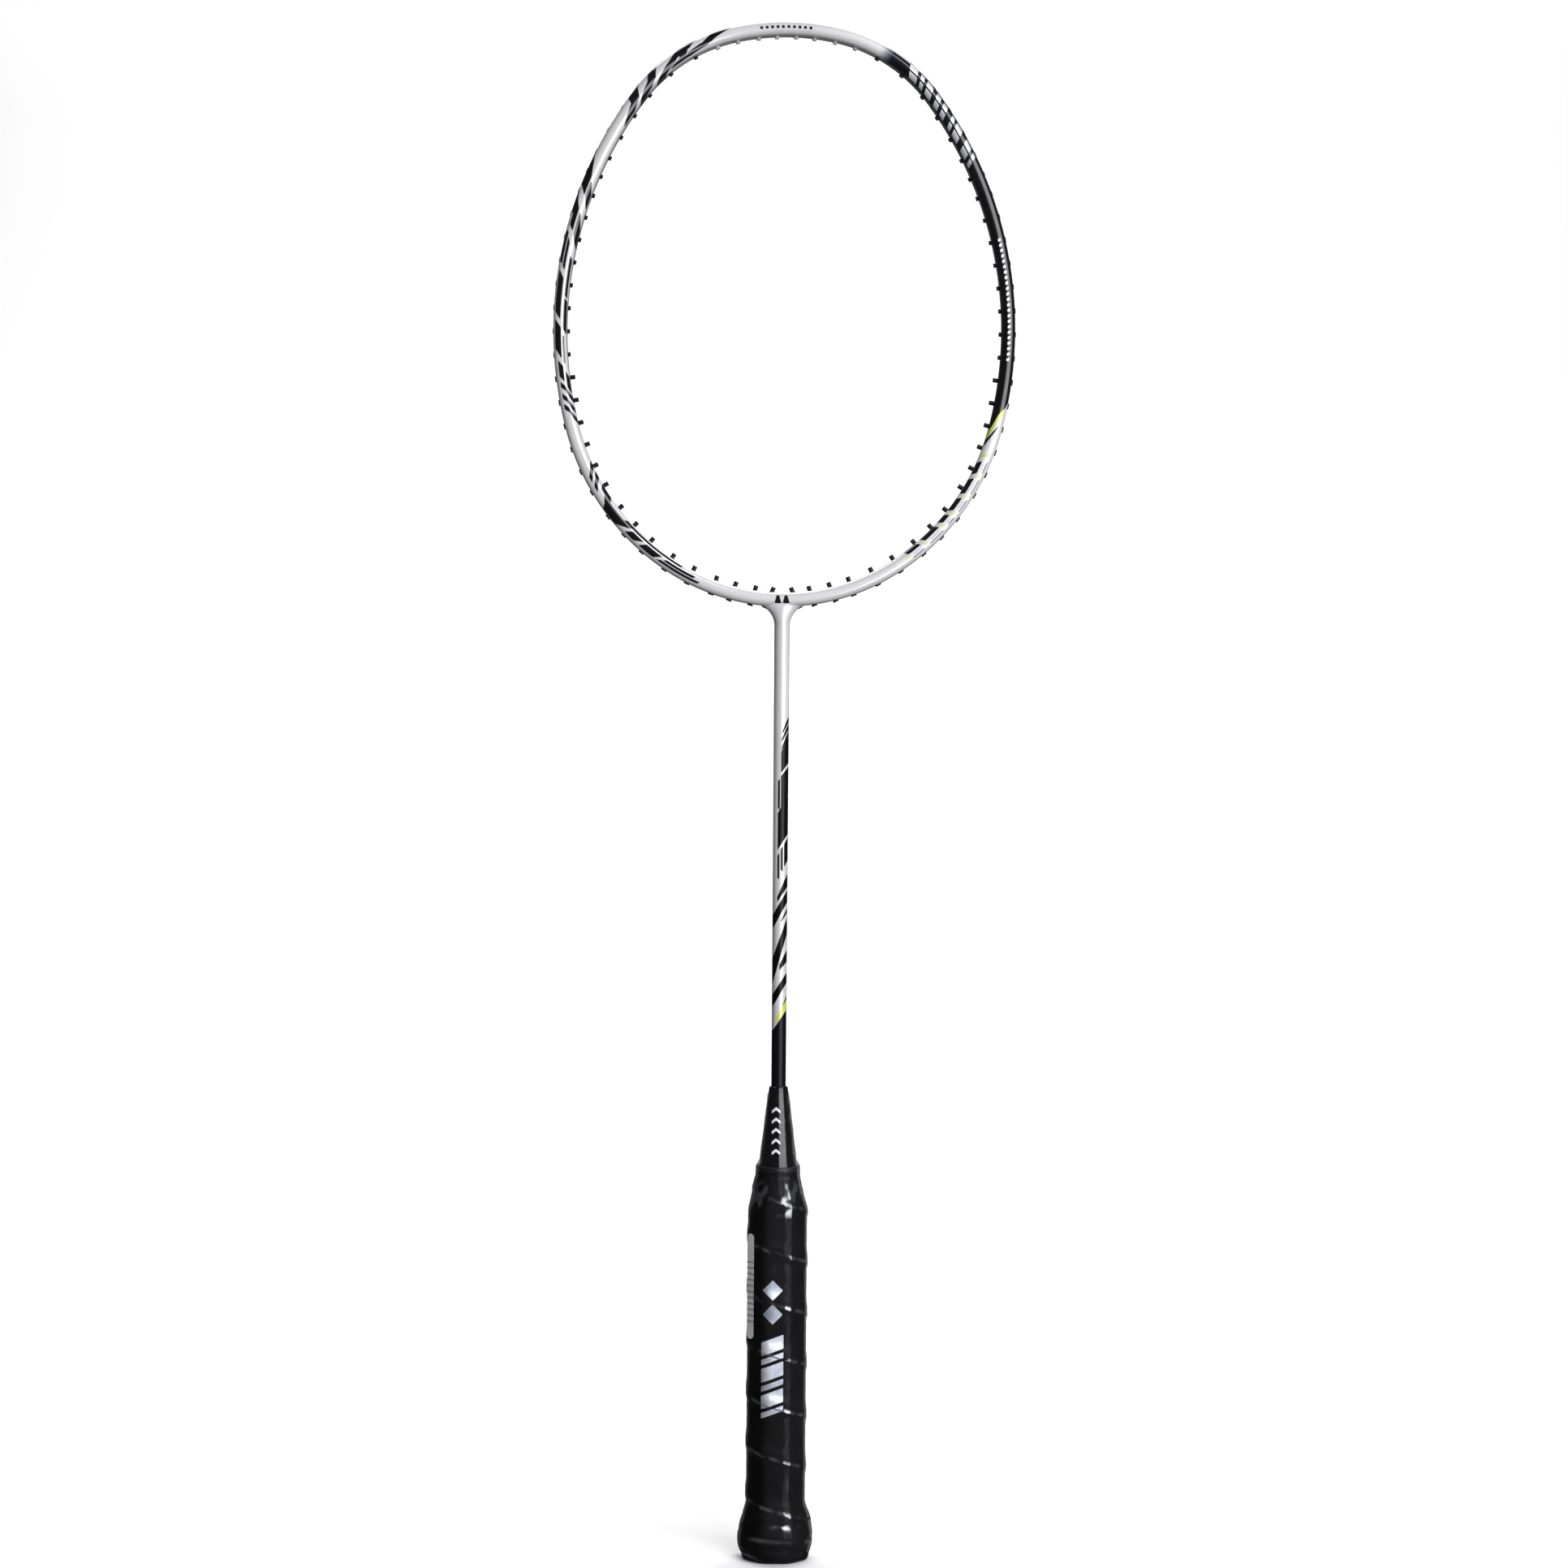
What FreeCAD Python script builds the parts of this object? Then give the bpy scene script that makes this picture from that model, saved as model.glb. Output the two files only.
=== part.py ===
import FreeCAD, Part
import math
import os
import Sketcher

# Badminton racket, unstrung, in millimetres.
# +Z runs up the shaft to the top of the head, the head lies in the XZ plane and its front faces -Y.
# The origin is the centre of the butt cap's flat end.

doc = FreeCAD.newDocument("badminton_racket")

SHEET_ROWS = [
    # head: each half of the loop's outer outline is five tangent arcs, from the top centre downwards
    ("overall_length", 675.0),
    ("top_radius", 105.8),
    ("shoulder_radius", 74.5),
    ("side_radius", 174.8),
    ("lower_radius", 105.7),
    ("bottom_radius", 93.2),
    ("top_turn", 12.9),
    ("shoulder_turn", 40.3),
    ("bottom_turn", 31.5),
    ("tube_width", 6.0),
    ("tube_depth", 10.0),
    ("tube_corner", 2.6),
    ("cavity_width", 3.2),
    ("cavity_depth", 7.6),
    ("cavity_corner", 1.0),
    ("cavity_shift", 0.4),
    # grommet strips, which lie in a groove round the upper part of the loop
    ("groove_depth", 0.75),
    ("groove_width", 3.2),
    ("strip_thickness", 0.7),
    ("strip_width", 3.0),
    ("strip_corner", 0.2),
    ("top_strip_turn", 45.3),
    ("strip_end_turn", 95.3),
    ("strip_gap_turn", 0.15),
    # grommet barrels and string holes
    ("hole_diameter", 2.1),
    ("barrel_diameter", 2.0),
    ("string_bore", 1.2),
    ("barrel_reach", 1.2),
    ("single_reach", 2.3),
    ("flange_diameter", 2.7),
    ("flange_thickness", 0.6),
    ("pad_height", 0.45),
    ("pad_diameter", 2.5),
    # neck, where the loop flares into the shaft, and the joint piece inside it
    ("neck_diameter", 6.8),
    ("neck_end_height", 399.0),
    ("flare_radius", 9.5),
    ("flare_top_height", 419.0),
    ("neck_depth", 8.8),
    ("joint_head_diameter", 4.3),
    ("joint_head_thickness", 1.2),
    ("joint_bottom_height", 372.0),
    ("joint_clearance", 0.05),
    # shaft
    ("shaft_bottom_height", 137.0),
    ("shaft_bottom_diameter", 6.3),
    ("shaft_top_diameter", 6.7),
    ("shaft_bore", 4.4),
    # cone cap and the ring at its foot
    ("cone_top_height", 207.0),
    ("cone_top_diameter", 8.1),
    ("cone_base_height", 172.0),
    ("cone_base_diameter", 16.6),
    ("cone_lip", 0.6),
    ("cone_throat_length", 12.0),
    ("cone_wall", 0.9),
    ("ring_height", 2.2),
    ("ring_diameter", 19.4),
    # handle: an octagon whose width, depth and bevels grow and shrink together
    ("grip_width", 26.0),
    ("grip_depth", 23.6),
    ("bevel_share", 0.29),
    ("wrap_thickness", 1.4),
    ("film_thickness", 0.12),
    ("layer_gap", 0.05),
    ("shaft_fit", 0.06),
    ("cap_thickness", 1.5),
    ("film_top_height", 204.0),
    # label on the front left bevel of the grip
    ("label_width", 4.0),
    ("label_shift", 2.9),
    ("label_bottom_height", 97.0),
    ("label_top_height", 143.0),
    ("label_thickness", 0.1),
]

# Handle stations from the butt upwards: name, height, and how far each side stands out from the grip's.
HANDLE_STATIONS = [
    ("butt_edge", 0.5, 1.3),
    ("butt_lower", 4.5, 3.0),
    ("butt_bulge", 10.5, 3.8),
    ("butt_waist", 17.0, 2.6),
    ("grip_start", 26.0, 0.0),
    ("grip_end", 153.0, 0.0),
    ("grip_tip", 170.0, -3.4),
]

# String holes down one half of the loop: how many, and how far each is from the one before,
# along the middle of the tube. The first is measured from the top centre.
HOLE_PITCHES = [
    (1, 4.3), (1, 8.4), (2, 9.6), (1, 11.2), (2, 13.85), (2, 11.5), (1, 10.6), (2, 9.2),
    (12, 10.37), (1, 10.0), (1, 12.4), (2, 10.4), (1, 12.2), (2, 11.25), (2, 9.4), (1, 8.25),
]
STRIP_HOLES = 19
TOP_STRIP_HOLES = 6
FIRST_PAD = 5
HOLE_SLANTS = {32: 9.0, 33: 10.0, 34: 21.0}

SIDES = (("left", -1), ("right", 1))
LOOP_RADII = ("top_radius", "shoulder_radius", "side_radius", "lower_radius", "bottom_radius")


class Size:
    """A number together with the sheet formula that it comes from."""

    def __init__(self, number, formula=None):
        self.number = float(number)
        self.formula = formula if formula else "%g" % number

    def join(self, other, sign, number):
        return Size(number, "(%s %s %s)" % (self.formula, sign, as_size(other).formula))

    def __add__(self, other):
        return self.join(other, "+", self.number + as_size(other).number)

    def __sub__(self, other):
        return self.join(other, "-", self.number - as_size(other).number)

    def __mul__(self, other):
        return self.join(other, "*", self.number * as_size(other).number)

    def __truediv__(self, other):
        return self.join(other, "/", self.number / as_size(other).number)

    def __neg__(self):
        return Size(-self.number, "(0 - %s)" % self.formula)


def as_size(value):
    return value if isinstance(value, Size) else Size(value)


def sine(turn):
    return Size(math.sin(math.radians(turn.number)), "sin(%s * 1deg)" % turn.formula)


def cosine(turn):
    return Size(math.cos(math.radians(turn.number)), "cos(%s * 1deg)" % turn.formula)


def arc_sine(ratio):
    return Size(math.degrees(math.asin(ratio.number)), "(asin(%s) / 1deg)" % ratio.formula)


def fill_sheet():
    """Write the driving dimensions into a sheet and return them by name."""
    sheet = doc.addObject("Spreadsheet::Sheet", "Sizes")
    rows = list(SHEET_ROWS)
    for name, height, growth in HANDLE_STATIONS:
        rows.append((name + "_height", height))
        rows.append((name + "_growth", growth))
    for row, (name, number) in enumerate(rows, start=1):
        sheet.set("A%d" % row, name)
        sheet.set("B%d" % row, str(number))
        sheet.setAlias("B%d" % row, name)
    doc.recompute()
    return {name: Size(sheet.get(name), "Sizes." + name) for name, number in rows}


# --- sketches and features ---------------------------------------------------------------------


def bind(target, prop, size):
    target.setExpression(prop, as_size(size).formula)


def new_body(name):
    body = doc.addObject("PartDesign::Body", name)
    body.Label = name
    return body


def origin_plane(body, role):
    return next(item for item in body.Origin.OriginFeatures if item.Role == role)


def new_sketch(body, name, role, offset=None):
    """A sketch on one of the body's own origin planes, moved along its normal by offset."""
    sketch = body.newObject("Sketcher::SketchObject", name)
    sketch.AttachmentSupport = (origin_plane(body, role), [""])
    sketch.MapMode = "FlatFace"
    if offset is not None:
        bind(sketch, "AttachmentOffset.Base.z", offset)
    return sketch


def dimension(sketch, kind, places, size):
    """A dimensional constraint bound to the sheet."""
    size = as_size(size)
    index = sketch.addConstraint(Sketcher.Constraint(kind, *places, size.number))
    bind(sketch, "Constraints[%d]" % index, size)


def locate(sketch, edge, end, x, y):
    dimension(sketch, "DistanceX", (-1, 1, edge, end), x)
    dimension(sketch, "DistanceY", (-1, 1, edge, end), y)


def vector(x, y):
    return FreeCAD.Vector(as_size(x).number, as_size(y).number, 0)


def vector3(x, y, z):
    return FreeCAD.Vector(as_size(x).number, as_size(y).number, as_size(z).number)


def draw_outline(sketch, corners, arcs=None):
    """A closed outline through the corners. arcs gives, for the side that starts at that corner,
    the arc's centre and radius; the arc runs anticlockwise if the radius is positive."""
    arcs = arcs or {}
    count = len(corners)
    starts = []
    ends = []
    for side in range(count):
        here = vector(*corners[side])
        there = vector(*corners[(side + 1) % count])
        if side not in arcs:
            sketch.addGeometry(Part.LineSegment(here, there))
            starts.append(1)
            ends.append(2)
            continue
        centre, radius = arcs[side]
        centre = vector(*centre)
        first, last = (here, there) if radius.number > 0 else (there, here)
        circle = Part.Circle(centre, FreeCAD.Vector(0, 0, 1), abs(radius.number))
        angles = [math.atan2(spot.y - centre.y, spot.x - centre.x) for spot in (first, last)]
        sketch.addGeometry(Part.ArcOfCircle(circle, *angles))
        starts.append(1 if radius.number > 0 else 2)
        ends.append(2 if radius.number > 0 else 1)
    for side in range(count):
        after = (side + 1) % count
        sketch.addConstraint(
            Sketcher.Constraint("Coincident", side, ends[side], after, starts[after]))
        locate(sketch, side, starts[side], *corners[side])
    for side, (centre, radius) in arcs.items():
        dimension(sketch, "Radius", (side,), radius if radius.number > 0 else -radius)


def draw_rounded_rectangle(sketch, centre, half_x, half_y, corner):
    left, right = centre[0] - half_x, centre[0] + half_x
    low, high = centre[1] - half_y, centre[1] + half_y
    inner_left, inner_right = left + corner, right - corner
    inner_low, inner_high = low + corner, high - corner
    corners = [
        (inner_left, low), (inner_right, low), (right, inner_low), (right, inner_high),
        (inner_right, high), (inner_left, high), (left, inner_high), (left, inner_low),
    ]
    arcs = {
        1: ((inner_right, inner_low), corner),
        3: ((inner_right, inner_high), corner),
        5: ((inner_left, inner_high), corner),
        7: ((inner_left, inner_low), corner),
    }
    draw_outline(sketch, corners, arcs)


def revolve(body, corners, arcs=None, cut=False):
    """Turn a half outline, drawn on the XZ plane, round the Z axis."""
    sketch = new_sketch(body, body.Name + "_outline", "XZ_Plane")
    draw_outline(sketch, corners, arcs)
    kind = "PartDesign::Groove" if cut else "PartDesign::Revolution"
    feature = body.newObject(kind, body.Name + ("_bore" if cut else "_turned"))
    feature.Profile = sketch
    feature.ReferenceAxis = (sketch, ["V_Axis"])
    feature.Angle = 360
    return feature


def cylinder(name, radius, height, placement):
    solid = doc.addObject("Part::Cylinder", name)
    bind(solid, "Radius", radius)
    bind(solid, "Height", height)
    solid.Placement = placement
    return solid


def compound(name, links):
    group = doc.addObject("Part::Compound", name)
    group.Links = links
    return group


def join_solids(name, solids):
    joined = doc.addObject("Part::MultiFuse", name)
    joined.Shapes = solids
    return joined


def cut_solid(name, base, tool):
    cut = doc.addObject("Part::Cut", name)
    cut.Base = base
    cut.Tool = tool
    return cut


def common_solid(name, base, tool):
    common = doc.addObject("Part::Common", name)
    common.Base = base
    common.Tool = tool
    return common


# --- head --------------------------------------------------------------------------------------


def loop_turns(size):
    """Where each arc of a half loop begins and ends, in degrees turned from the top centre. The
    side arc ends where it brings the last arc's end onto the middle plane, level."""
    top, shoulder_arc, side_arc, lower, bottom = [size[name] for name in LOOP_RADII]
    first = size["top_turn"]
    second = first + size["shoulder_turn"]
    fourth = as_size(180) - size["bottom_turn"]
    reach = (shoulder_arc - top) * sine(first) + (side_arc - shoulder_arc) * sine(second)
    reach = reach - (lower - bottom) * sine(fourth)
    third = as_size(180) - arc_sine(reach / (side_arc - lower))
    return [as_size(0), first, second, third, fourth, as_size(180)]


def loop_arcs(size):
    """Centre, radius, first and last turn of each arc of the tube's middle line, right half."""
    half = size["tube_width"] / 2
    radii = [size[name] - half for name in LOOP_RADII]
    turns = loop_turns(size)
    x, z = as_size(0), size["overall_length"] - half
    arcs = []
    for radius, first, last in zip(radii, turns, turns[1:]):
        centre = (x - radius * sine(first), z - radius * cosine(first))
        arcs.append((centre, radius, first, last))
        x = centre[0] + radius * sine(last)
        z = centre[1] + radius * cosine(last)
    return arcs


def loop_point(arcs, distance):
    """The point, and the outward direction, at a distance along the tube's middle line."""
    for centre, radius, first, last in arcs:
        length = radius.number * math.radians(last.number - first.number)
        if distance <= length or last.number == 180:
            turn = math.radians(first.number) + distance / radius.number
            out = FreeCAD.Vector(math.sin(turn), 0, math.cos(turn))
            return vector3(centre[0], 0, centre[1]) + out * radius.number, out
        distance -= length


def whole_loop_arcs(size):
    """The arcs of the whole loop: the top and bottom ones each run on across the middle plane,
    and the others are repeated on the left."""
    right = loop_arcs(size)
    arcs = []
    for index, (centre, radius, first, last) in enumerate(right):
        mirrored = (-centre[0], centre[1])
        if index == 0:
            arcs.append((centre, radius, -last, last))
        elif index == len(right) - 1:
            arcs.append((centre, radius, first, as_size(360) - first))
        else:
            arcs.append((centre, radius, first, last))
            arcs.append((mirrored, radius, -last, -first))
    return arcs


def loop_solid(size, name, width, depth, corner, offset, stretch=None):
    """A loop of one section, as a turned segment for each arc. offset moves the section outwards
    from the tube's middle line, and stretch limits it to two turns from the top centre."""
    segments = []
    for index, (centre, radius, first, last) in enumerate(whole_loop_arcs(size)):
        if stretch:
            first = max(first, stretch[0], key=number_of)
            last = min(last, stretch[1], key=number_of)
            if first.number >= last.number:
                continue
        body = new_body("%s_arc_%d" % (name, index + 1))
        sketch = new_sketch(body, body.Name + "_section", "XY_Plane")
        middle = (radius + offset, as_size(0))
        draw_rounded_rectangle(sketch, middle, width / 2, depth / 2, corner)
        turned = body.newObject("PartDesign::Revolution", body.Name + "_turned")
        turned.Profile = sketch
        turned.ReferenceAxis = (sketch, ["V_Axis"])
        bind(turned, "Angle", last - first)
        tilt = FreeCAD.Rotation(FreeCAD.Vector(0, 1, 0), first.number - 90)
        body.Placement = FreeCAD.Placement(vector3(centre[0], 0, centre[1]), tilt)
        segments.append(body)
    return join_solids(name, segments)


def number_of(size):
    return size.number


def hole_placements(size):
    """For every string hole: its number from the top, its side, and a placement whose origin is
    the barrel's inner end and whose +Z points out through the tube."""
    places = []
    distance = 0.0
    number = 0
    strip_inset = (size["tube_width"] / 2 + size["barrel_reach"]).number
    single_inset = (size["tube_width"] / 2 + size["single_reach"]).number
    arcs = loop_arcs(size)
    for count, pitch in HOLE_PITCHES:
        for step in range(count):
            distance += pitch
            number += 1
            point, out = loop_point(arcs, distance)
            inset = strip_inset if number <= STRIP_HOLES else single_inset
            inner = point - out * inset
            slant = FreeCAD.Rotation(FreeCAD.Vector(0, 1, 0), -HOLE_SLANTS.get(number, 0.0))
            for side, sign in SIDES:
                aim = slant.multVec(out)
                aim.x *= sign
                base = FreeCAD.Vector(inner.x * sign, 0, inner.z)
                turn = FreeCAD.Rotation(FreeCAD.Vector(0, 0, 1), aim)
                places.append((number, side, FreeCAD.Placement(base, turn)))
    return places


def zone_box(name, low_x, high_x, depth, low_z, high_z):
    """A block, centred on the head's plane, that picks out part of a loop."""
    box = doc.addObject("Part::Box", name)
    bind(box, "Length", high_x - low_x)
    bind(box, "Width", depth)
    bind(box, "Height", high_z - low_z)
    bind(box, "Placement.Base.x", low_x)
    bind(box, "Placement.Base.y", -depth / 2)
    bind(box, "Placement.Base.z", low_z)
    return box


def neck_solid(size):
    """The flare under the loop: a trumpet, narrowing to a stub as thick as the shaft, with its
    front and back trimmed to less than the tube's depth."""
    body = new_body("neck_flare")
    half = size["neck_diameter"] / 2
    flare = size["flare_radius"]
    wide = half + flare
    bottom = size["neck_end_height"]
    edge = size["flare_top_height"]
    turn = edge - flare
    top = neck_top(size)
    corners = [(as_size(0), bottom), (half, bottom), (half, turn), (wide, edge), (wide, top),
               (as_size(0), top)]
    revolve(body, corners, {2: ((wide, turn), -flare)})
    trim = zone_box("neck_trim", -wide, wide, size["neck_depth"], bottom, top)
    return common_solid("neck", body, trim)


def neck_top(size):
    """The flare ends inside the tube's lower wall."""
    return size["flare_top_height"] + size["tube_width"] / 3


def make_head_frame(size, holes):
    """The hollow one-piece loop and neck, with its groove, string holes and shaft bore."""
    skin = loop_solid(size, "loop_skin", size["tube_width"], size["tube_depth"],
                     size["tube_corner"], as_size(0))
    cavity = loop_solid(size, "loop_cavity", size["cavity_width"], size["cavity_depth"],
                       size["cavity_corner"], -size["cavity_shift"])
    solid = join_solids("loop_and_neck", [skin, neck_solid(size)])
    bottom = size["neck_end_height"] - 1
    bore = cylinder("neck_bore", size["shaft_bore"] / 2, neck_top(size) + 1 - bottom,
                    FreeCAD.Placement(vector3(0, 0, bottom), FreeCAD.Rotation()))
    hollow = cut_solid("hollow_loop", solid, join_solids("loop_hollow", [cavity, bore]))
    overshoot = as_size(1)
    end = size["strip_end_turn"] + size["strip_gap_turn"]
    groove = loop_solid(size, "loop_groove", size["groove_depth"] + overshoot,
                        size["groove_width"], size["strip_corner"],
                        size["tube_width"] / 2 + (overshoot - size["groove_depth"]) / 2,
                        (-end, end))
    grooved = cut_solid("grooved_loop", hollow, groove)
    drills = []
    for number, side, place in holes:
        drills.append(cylinder("drill_%s_%02d" % (side, number), size["hole_diameter"] / 2,
                               size["tube_width"] * 2, place))
    frame = cut_solid("head_frame", grooved, compound("drills", drills))
    return frame


def shifted(place, distance):
    """The placement, moved along its own +Z."""
    step = FreeCAD.Vector(0, 0, as_size(distance).number)
    return place.multiply(FreeCAD.Placement(step, FreeCAD.Rotation()))


def make_grommet_strip(size, name, stretch, places):
    """A length of strip with a barrel for each string hole, bored for the string. Away from the
    top of the head each barrel has a pad, proud of the tube, where the string turns."""
    strip_floor = size["tube_width"] / 2 - size["groove_depth"]
    band = loop_solid(size, name + "_band", size["strip_thickness"], size["strip_width"],
                      size["strip_corner"], strip_floor + size["strip_thickness"] / 2, stretch)
    height = size["tube_width"] / 2 + size["barrel_reach"] + strip_floor
    through = height + size["strip_thickness"] * 2
    parts = [band]
    bores = []
    for number, side, place in places:
        tag = "%s_%02d" % (side, number)
        parts.append(cylinder("barrel_" + tag, size["barrel_diameter"] / 2,
                              height + size["strip_thickness"] / 2, place))
        if number >= FIRST_PAD:
            pad_place = shifted(place, height)
            thickness = size["strip_thickness"] + size["pad_height"]
            parts.append(cylinder("pad_" + tag, size["pad_diameter"] / 2, thickness, pad_place))
        bores.append(cylinder("bore_" + tag, size["string_bore"] / 2, through + 1,
                              shifted(place, -1)))
    blank = join_solids(name + "_blank", parts)
    return cut_solid(name, blank, compound(name + "_bores", bores))


def make_grommet_strips(size, holes):
    split = size["top_strip_turn"]
    beside = split + size["strip_gap_turn"]
    end = size["strip_end_turn"]
    stretches = {"top": (-split, split), "left": (-end, -beside), "right": (beside, end)}
    strips = []
    for where, stretch in stretches.items():
        places = []
        for hole in holes:
            number, side, place = hole
            in_top = where == "top" and number <= TOP_STRIP_HOLES
            in_side = where == side and TOP_STRIP_HOLES < number <= STRIP_HOLES
            if in_top or in_side:
                places.append(hole)
        strips.append(make_grommet_strip(size, "grommet_strip_" + where, stretch, places))
    return strips


def make_single_grommet(size, number, side, place):
    """A flanged barrel. A slanted one is longer, because it crosses the tube at an angle."""
    body = new_body("grommet_%s_%02d" % (side, number))
    stretch = 1 / math.cos(math.radians(HOLE_SLANTS.get(number, 0.0)))
    inner = size["string_bore"] / 2
    barrel = size["barrel_diameter"] / 2
    rim = size["flange_diameter"] / 2
    seat = (size["tube_width"] + size["single_reach"]) * round(stretch, 3)
    if number in HOLE_SLANTS:
        seat = seat + rim * round(math.tan(math.acos(1 / stretch)), 3)
    end = seat + size["flange_thickness"]
    revolve(body, [(inner, as_size(0)), (barrel, as_size(0)), (barrel, seat), (rim, seat),
                   (rim, end), (inner, end)])
    body.Placement = place
    return body


# --- neck, shaft and cone ----------------------------------------------------------------------


def make_t_joint(size):
    """The metal piece that ties the loop to the shaft: a stem in the bore, headed in the tube."""
    body = new_body("t_joint")
    stem = size["shaft_bore"] / 2 - size["joint_clearance"]
    head = size["joint_head_diameter"] / 2
    bottom = size["joint_bottom_height"]
    cavity_floor = neck_top(size)
    top = cavity_floor + size["joint_head_thickness"]
    revolve(body, [(as_size(0), bottom), (stem, bottom), (stem, cavity_floor),
                   (head, cavity_floor), (head, top), (as_size(0), top)])
    return body


def make_shaft_tube(size):
    body = new_body("shaft_tube")
    bore = size["shaft_bore"] / 2
    low, high = size["shaft_bottom_height"], size["neck_end_height"]
    revolve(body, [(bore, low), (size["shaft_bottom_diameter"] / 2, low),
                   (size["shaft_top_diameter"] / 2, high), (bore, high)])
    return body


def shaft_hole(size):
    """Radius of the holes that the shaft passes through, a little over its radius at the cone."""
    low, high = size["shaft_bottom_height"], size["neck_end_height"]
    share = (size["cone_top_height"] - low) / (high - low)
    growth = (size["shaft_top_diameter"] - size["shaft_bottom_diameter"]) / 2
    return size["shaft_bottom_diameter"] / 2 + growth * share + size["shaft_fit"]


def nose_heights(size):
    """Foot and tip of the wooden nose that stands inside the cone."""
    foot = size["cone_base_height"]
    tip = size["cone_top_height"] - size["cone_throat_length"] - size["cone_wall"]
    return foot, tip


def cone_slope(size, height):
    """Outer radius of the cone at a height."""
    top, base = size["cone_top_height"], size["cone_base_height"]
    fall = (size["cone_base_diameter"] - size["cone_top_diameter"]) / 2
    return size["cone_top_diameter"] / 2 + fall * (top - height) / (top - base)


def make_cone_cap(size):
    """The thin cone that closes the handle round the shaft."""
    body = new_body("cone_cap")
    hole = shaft_hole(size)
    foot, tip = nose_heights(size)
    top = size["cone_top_height"]
    wall = size["cone_wall"]
    roof = tip + wall / 2
    lip = size["cone_lip"]
    corners = [
        (cone_slope(size, foot) - wall, foot), (cone_slope(size, foot), foot),
        (size["cone_top_diameter"] / 2, top - lip), (size["cone_top_diameter"] / 2 - lip, top),
        (hole, top), (hole, roof), (cone_slope(size, roof) - wall, roof),
    ]
    arcs = {2: ((size["cone_top_diameter"] / 2 - lip, top - lip), lip)}
    revolve(body, corners, arcs)
    return body


def make_finishing_ring(size):
    """The band that closes the top edge of the grip wrap against the cone."""
    body = new_body("finishing_ring")
    low = size["grip_tip_height"] + size["layer_gap"]
    high = low + size["ring_height"]
    inner = size["cone_base_diameter"] / 2 + size["layer_gap"]
    outer = size["ring_diameter"] / 2
    corner = (outer - inner) / 3
    corners = [(inner, low), (outer, low), (outer, high - corner), (outer - corner, high),
               (inner, high)]
    revolve(body, corners, {2: ((outer - corner, high - corner), corner)})
    return body


# --- handle ------------------------------------------------------------------------------------


def octagon_sketch(size, body, name, height, growth):
    """The handle's octagon at a height, standing out by growth from the grip's surface."""
    half_x = size["grip_width"] / 2 + growth
    half_y = size["grip_depth"] / 2 + growth
    bevel = (half_x + half_y) * size["bevel_share"]
    flat_x = half_x - bevel
    flat_y = half_y - bevel
    sketch = new_sketch(body, name, "XY_Plane", height)
    draw_outline(sketch, [
        (-flat_x, -half_y), (flat_x, -half_y), (half_x, -flat_y), (half_x, flat_y),
        (flat_x, half_y), (-flat_x, half_y), (-half_x, flat_y), (-half_x, -flat_y),
    ])
    return sketch


def handle_form(size, body, offset, bottom, top, cut=False):
    """The handle's shape: a flared butt, a straight grip and a tapering tip, as one stack of
    octagons that offset moves in or out. cut takes it away from the body instead."""
    word = "inside" if cut else "outside"
    sections = []
    for index, (station, height, growth) in enumerate(HANDLE_STATIONS):
        level = size[station + "_height"]
        if index == 0:
            level = bottom
        if index == len(HANDLE_STATIONS) - 1:
            level = top
        name = "%s_%s_%s" % (body.Name, word, station)
        grown = size[station + "_growth"] + offset
        sections.append(octagon_sketch(size, body, name, level, grown))
    kind = "PartDesign::SubtractiveLoft" if cut else "PartDesign::AdditiveLoft"
    for part, first, last, ruled in (("flare", 0, 4, False), ("grip", 4, 5, True),
                                     ("tip", 5, 6, True)):
        loft = body.newObject(kind, "%s_%s_%s" % (body.Name, word, part))
        loft.Profile = sections[first]
        loft.Sections = sections[first + 1:last + 1]
        loft.Ruled = ruled
        doc.recompute()


def make_handle_core(size):
    """The wooden handle: octagonal, flared at the butt, with a nose that carries the cone."""
    body = new_body("handle_core")
    inset = -size["wrap_thickness"] - size["layer_gap"]
    bottom = size["cap_thickness"] + size["layer_gap"]
    handle_form(size, body, inset, bottom, size["cone_base_height"] - size["layer_gap"])
    foot, tip = nose_heights(size)
    hole = shaft_hole(size)
    slack = size["cone_wall"] + size["layer_gap"]
    start = foot - size["layer_gap"] * 2
    revolve(body, [(as_size(0), start), (cone_slope(size, foot) - slack, start),
                   (cone_slope(size, foot) - slack, foot), (cone_slope(size, tip) - slack, tip),
                   (as_size(0), tip)])
    doc.recompute()
    low = size["shaft_bottom_height"] - size["layer_gap"]
    sketch = new_sketch(body, "shaft_socket_outline", "XZ_Plane")
    draw_outline(sketch, [(as_size(0), low), (hole, low), (hole, tip + 1), (as_size(0), tip + 1)])
    groove = body.newObject("PartDesign::Groove", "shaft_socket")
    groove.Profile = sketch
    groove.ReferenceAxis = (sketch, ["V_Axis"])
    groove.Angle = 360
    return body


def make_sleeve(size, name, outside, thickness, bottom, top):
    """A sleeve over the handle, from outside inwards by its thickness."""
    body = new_body(name)
    handle_form(size, body, outside, bottom, top)
    handle_form(size, body, outside - thickness, bottom, top, cut=True)
    return body


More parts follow.
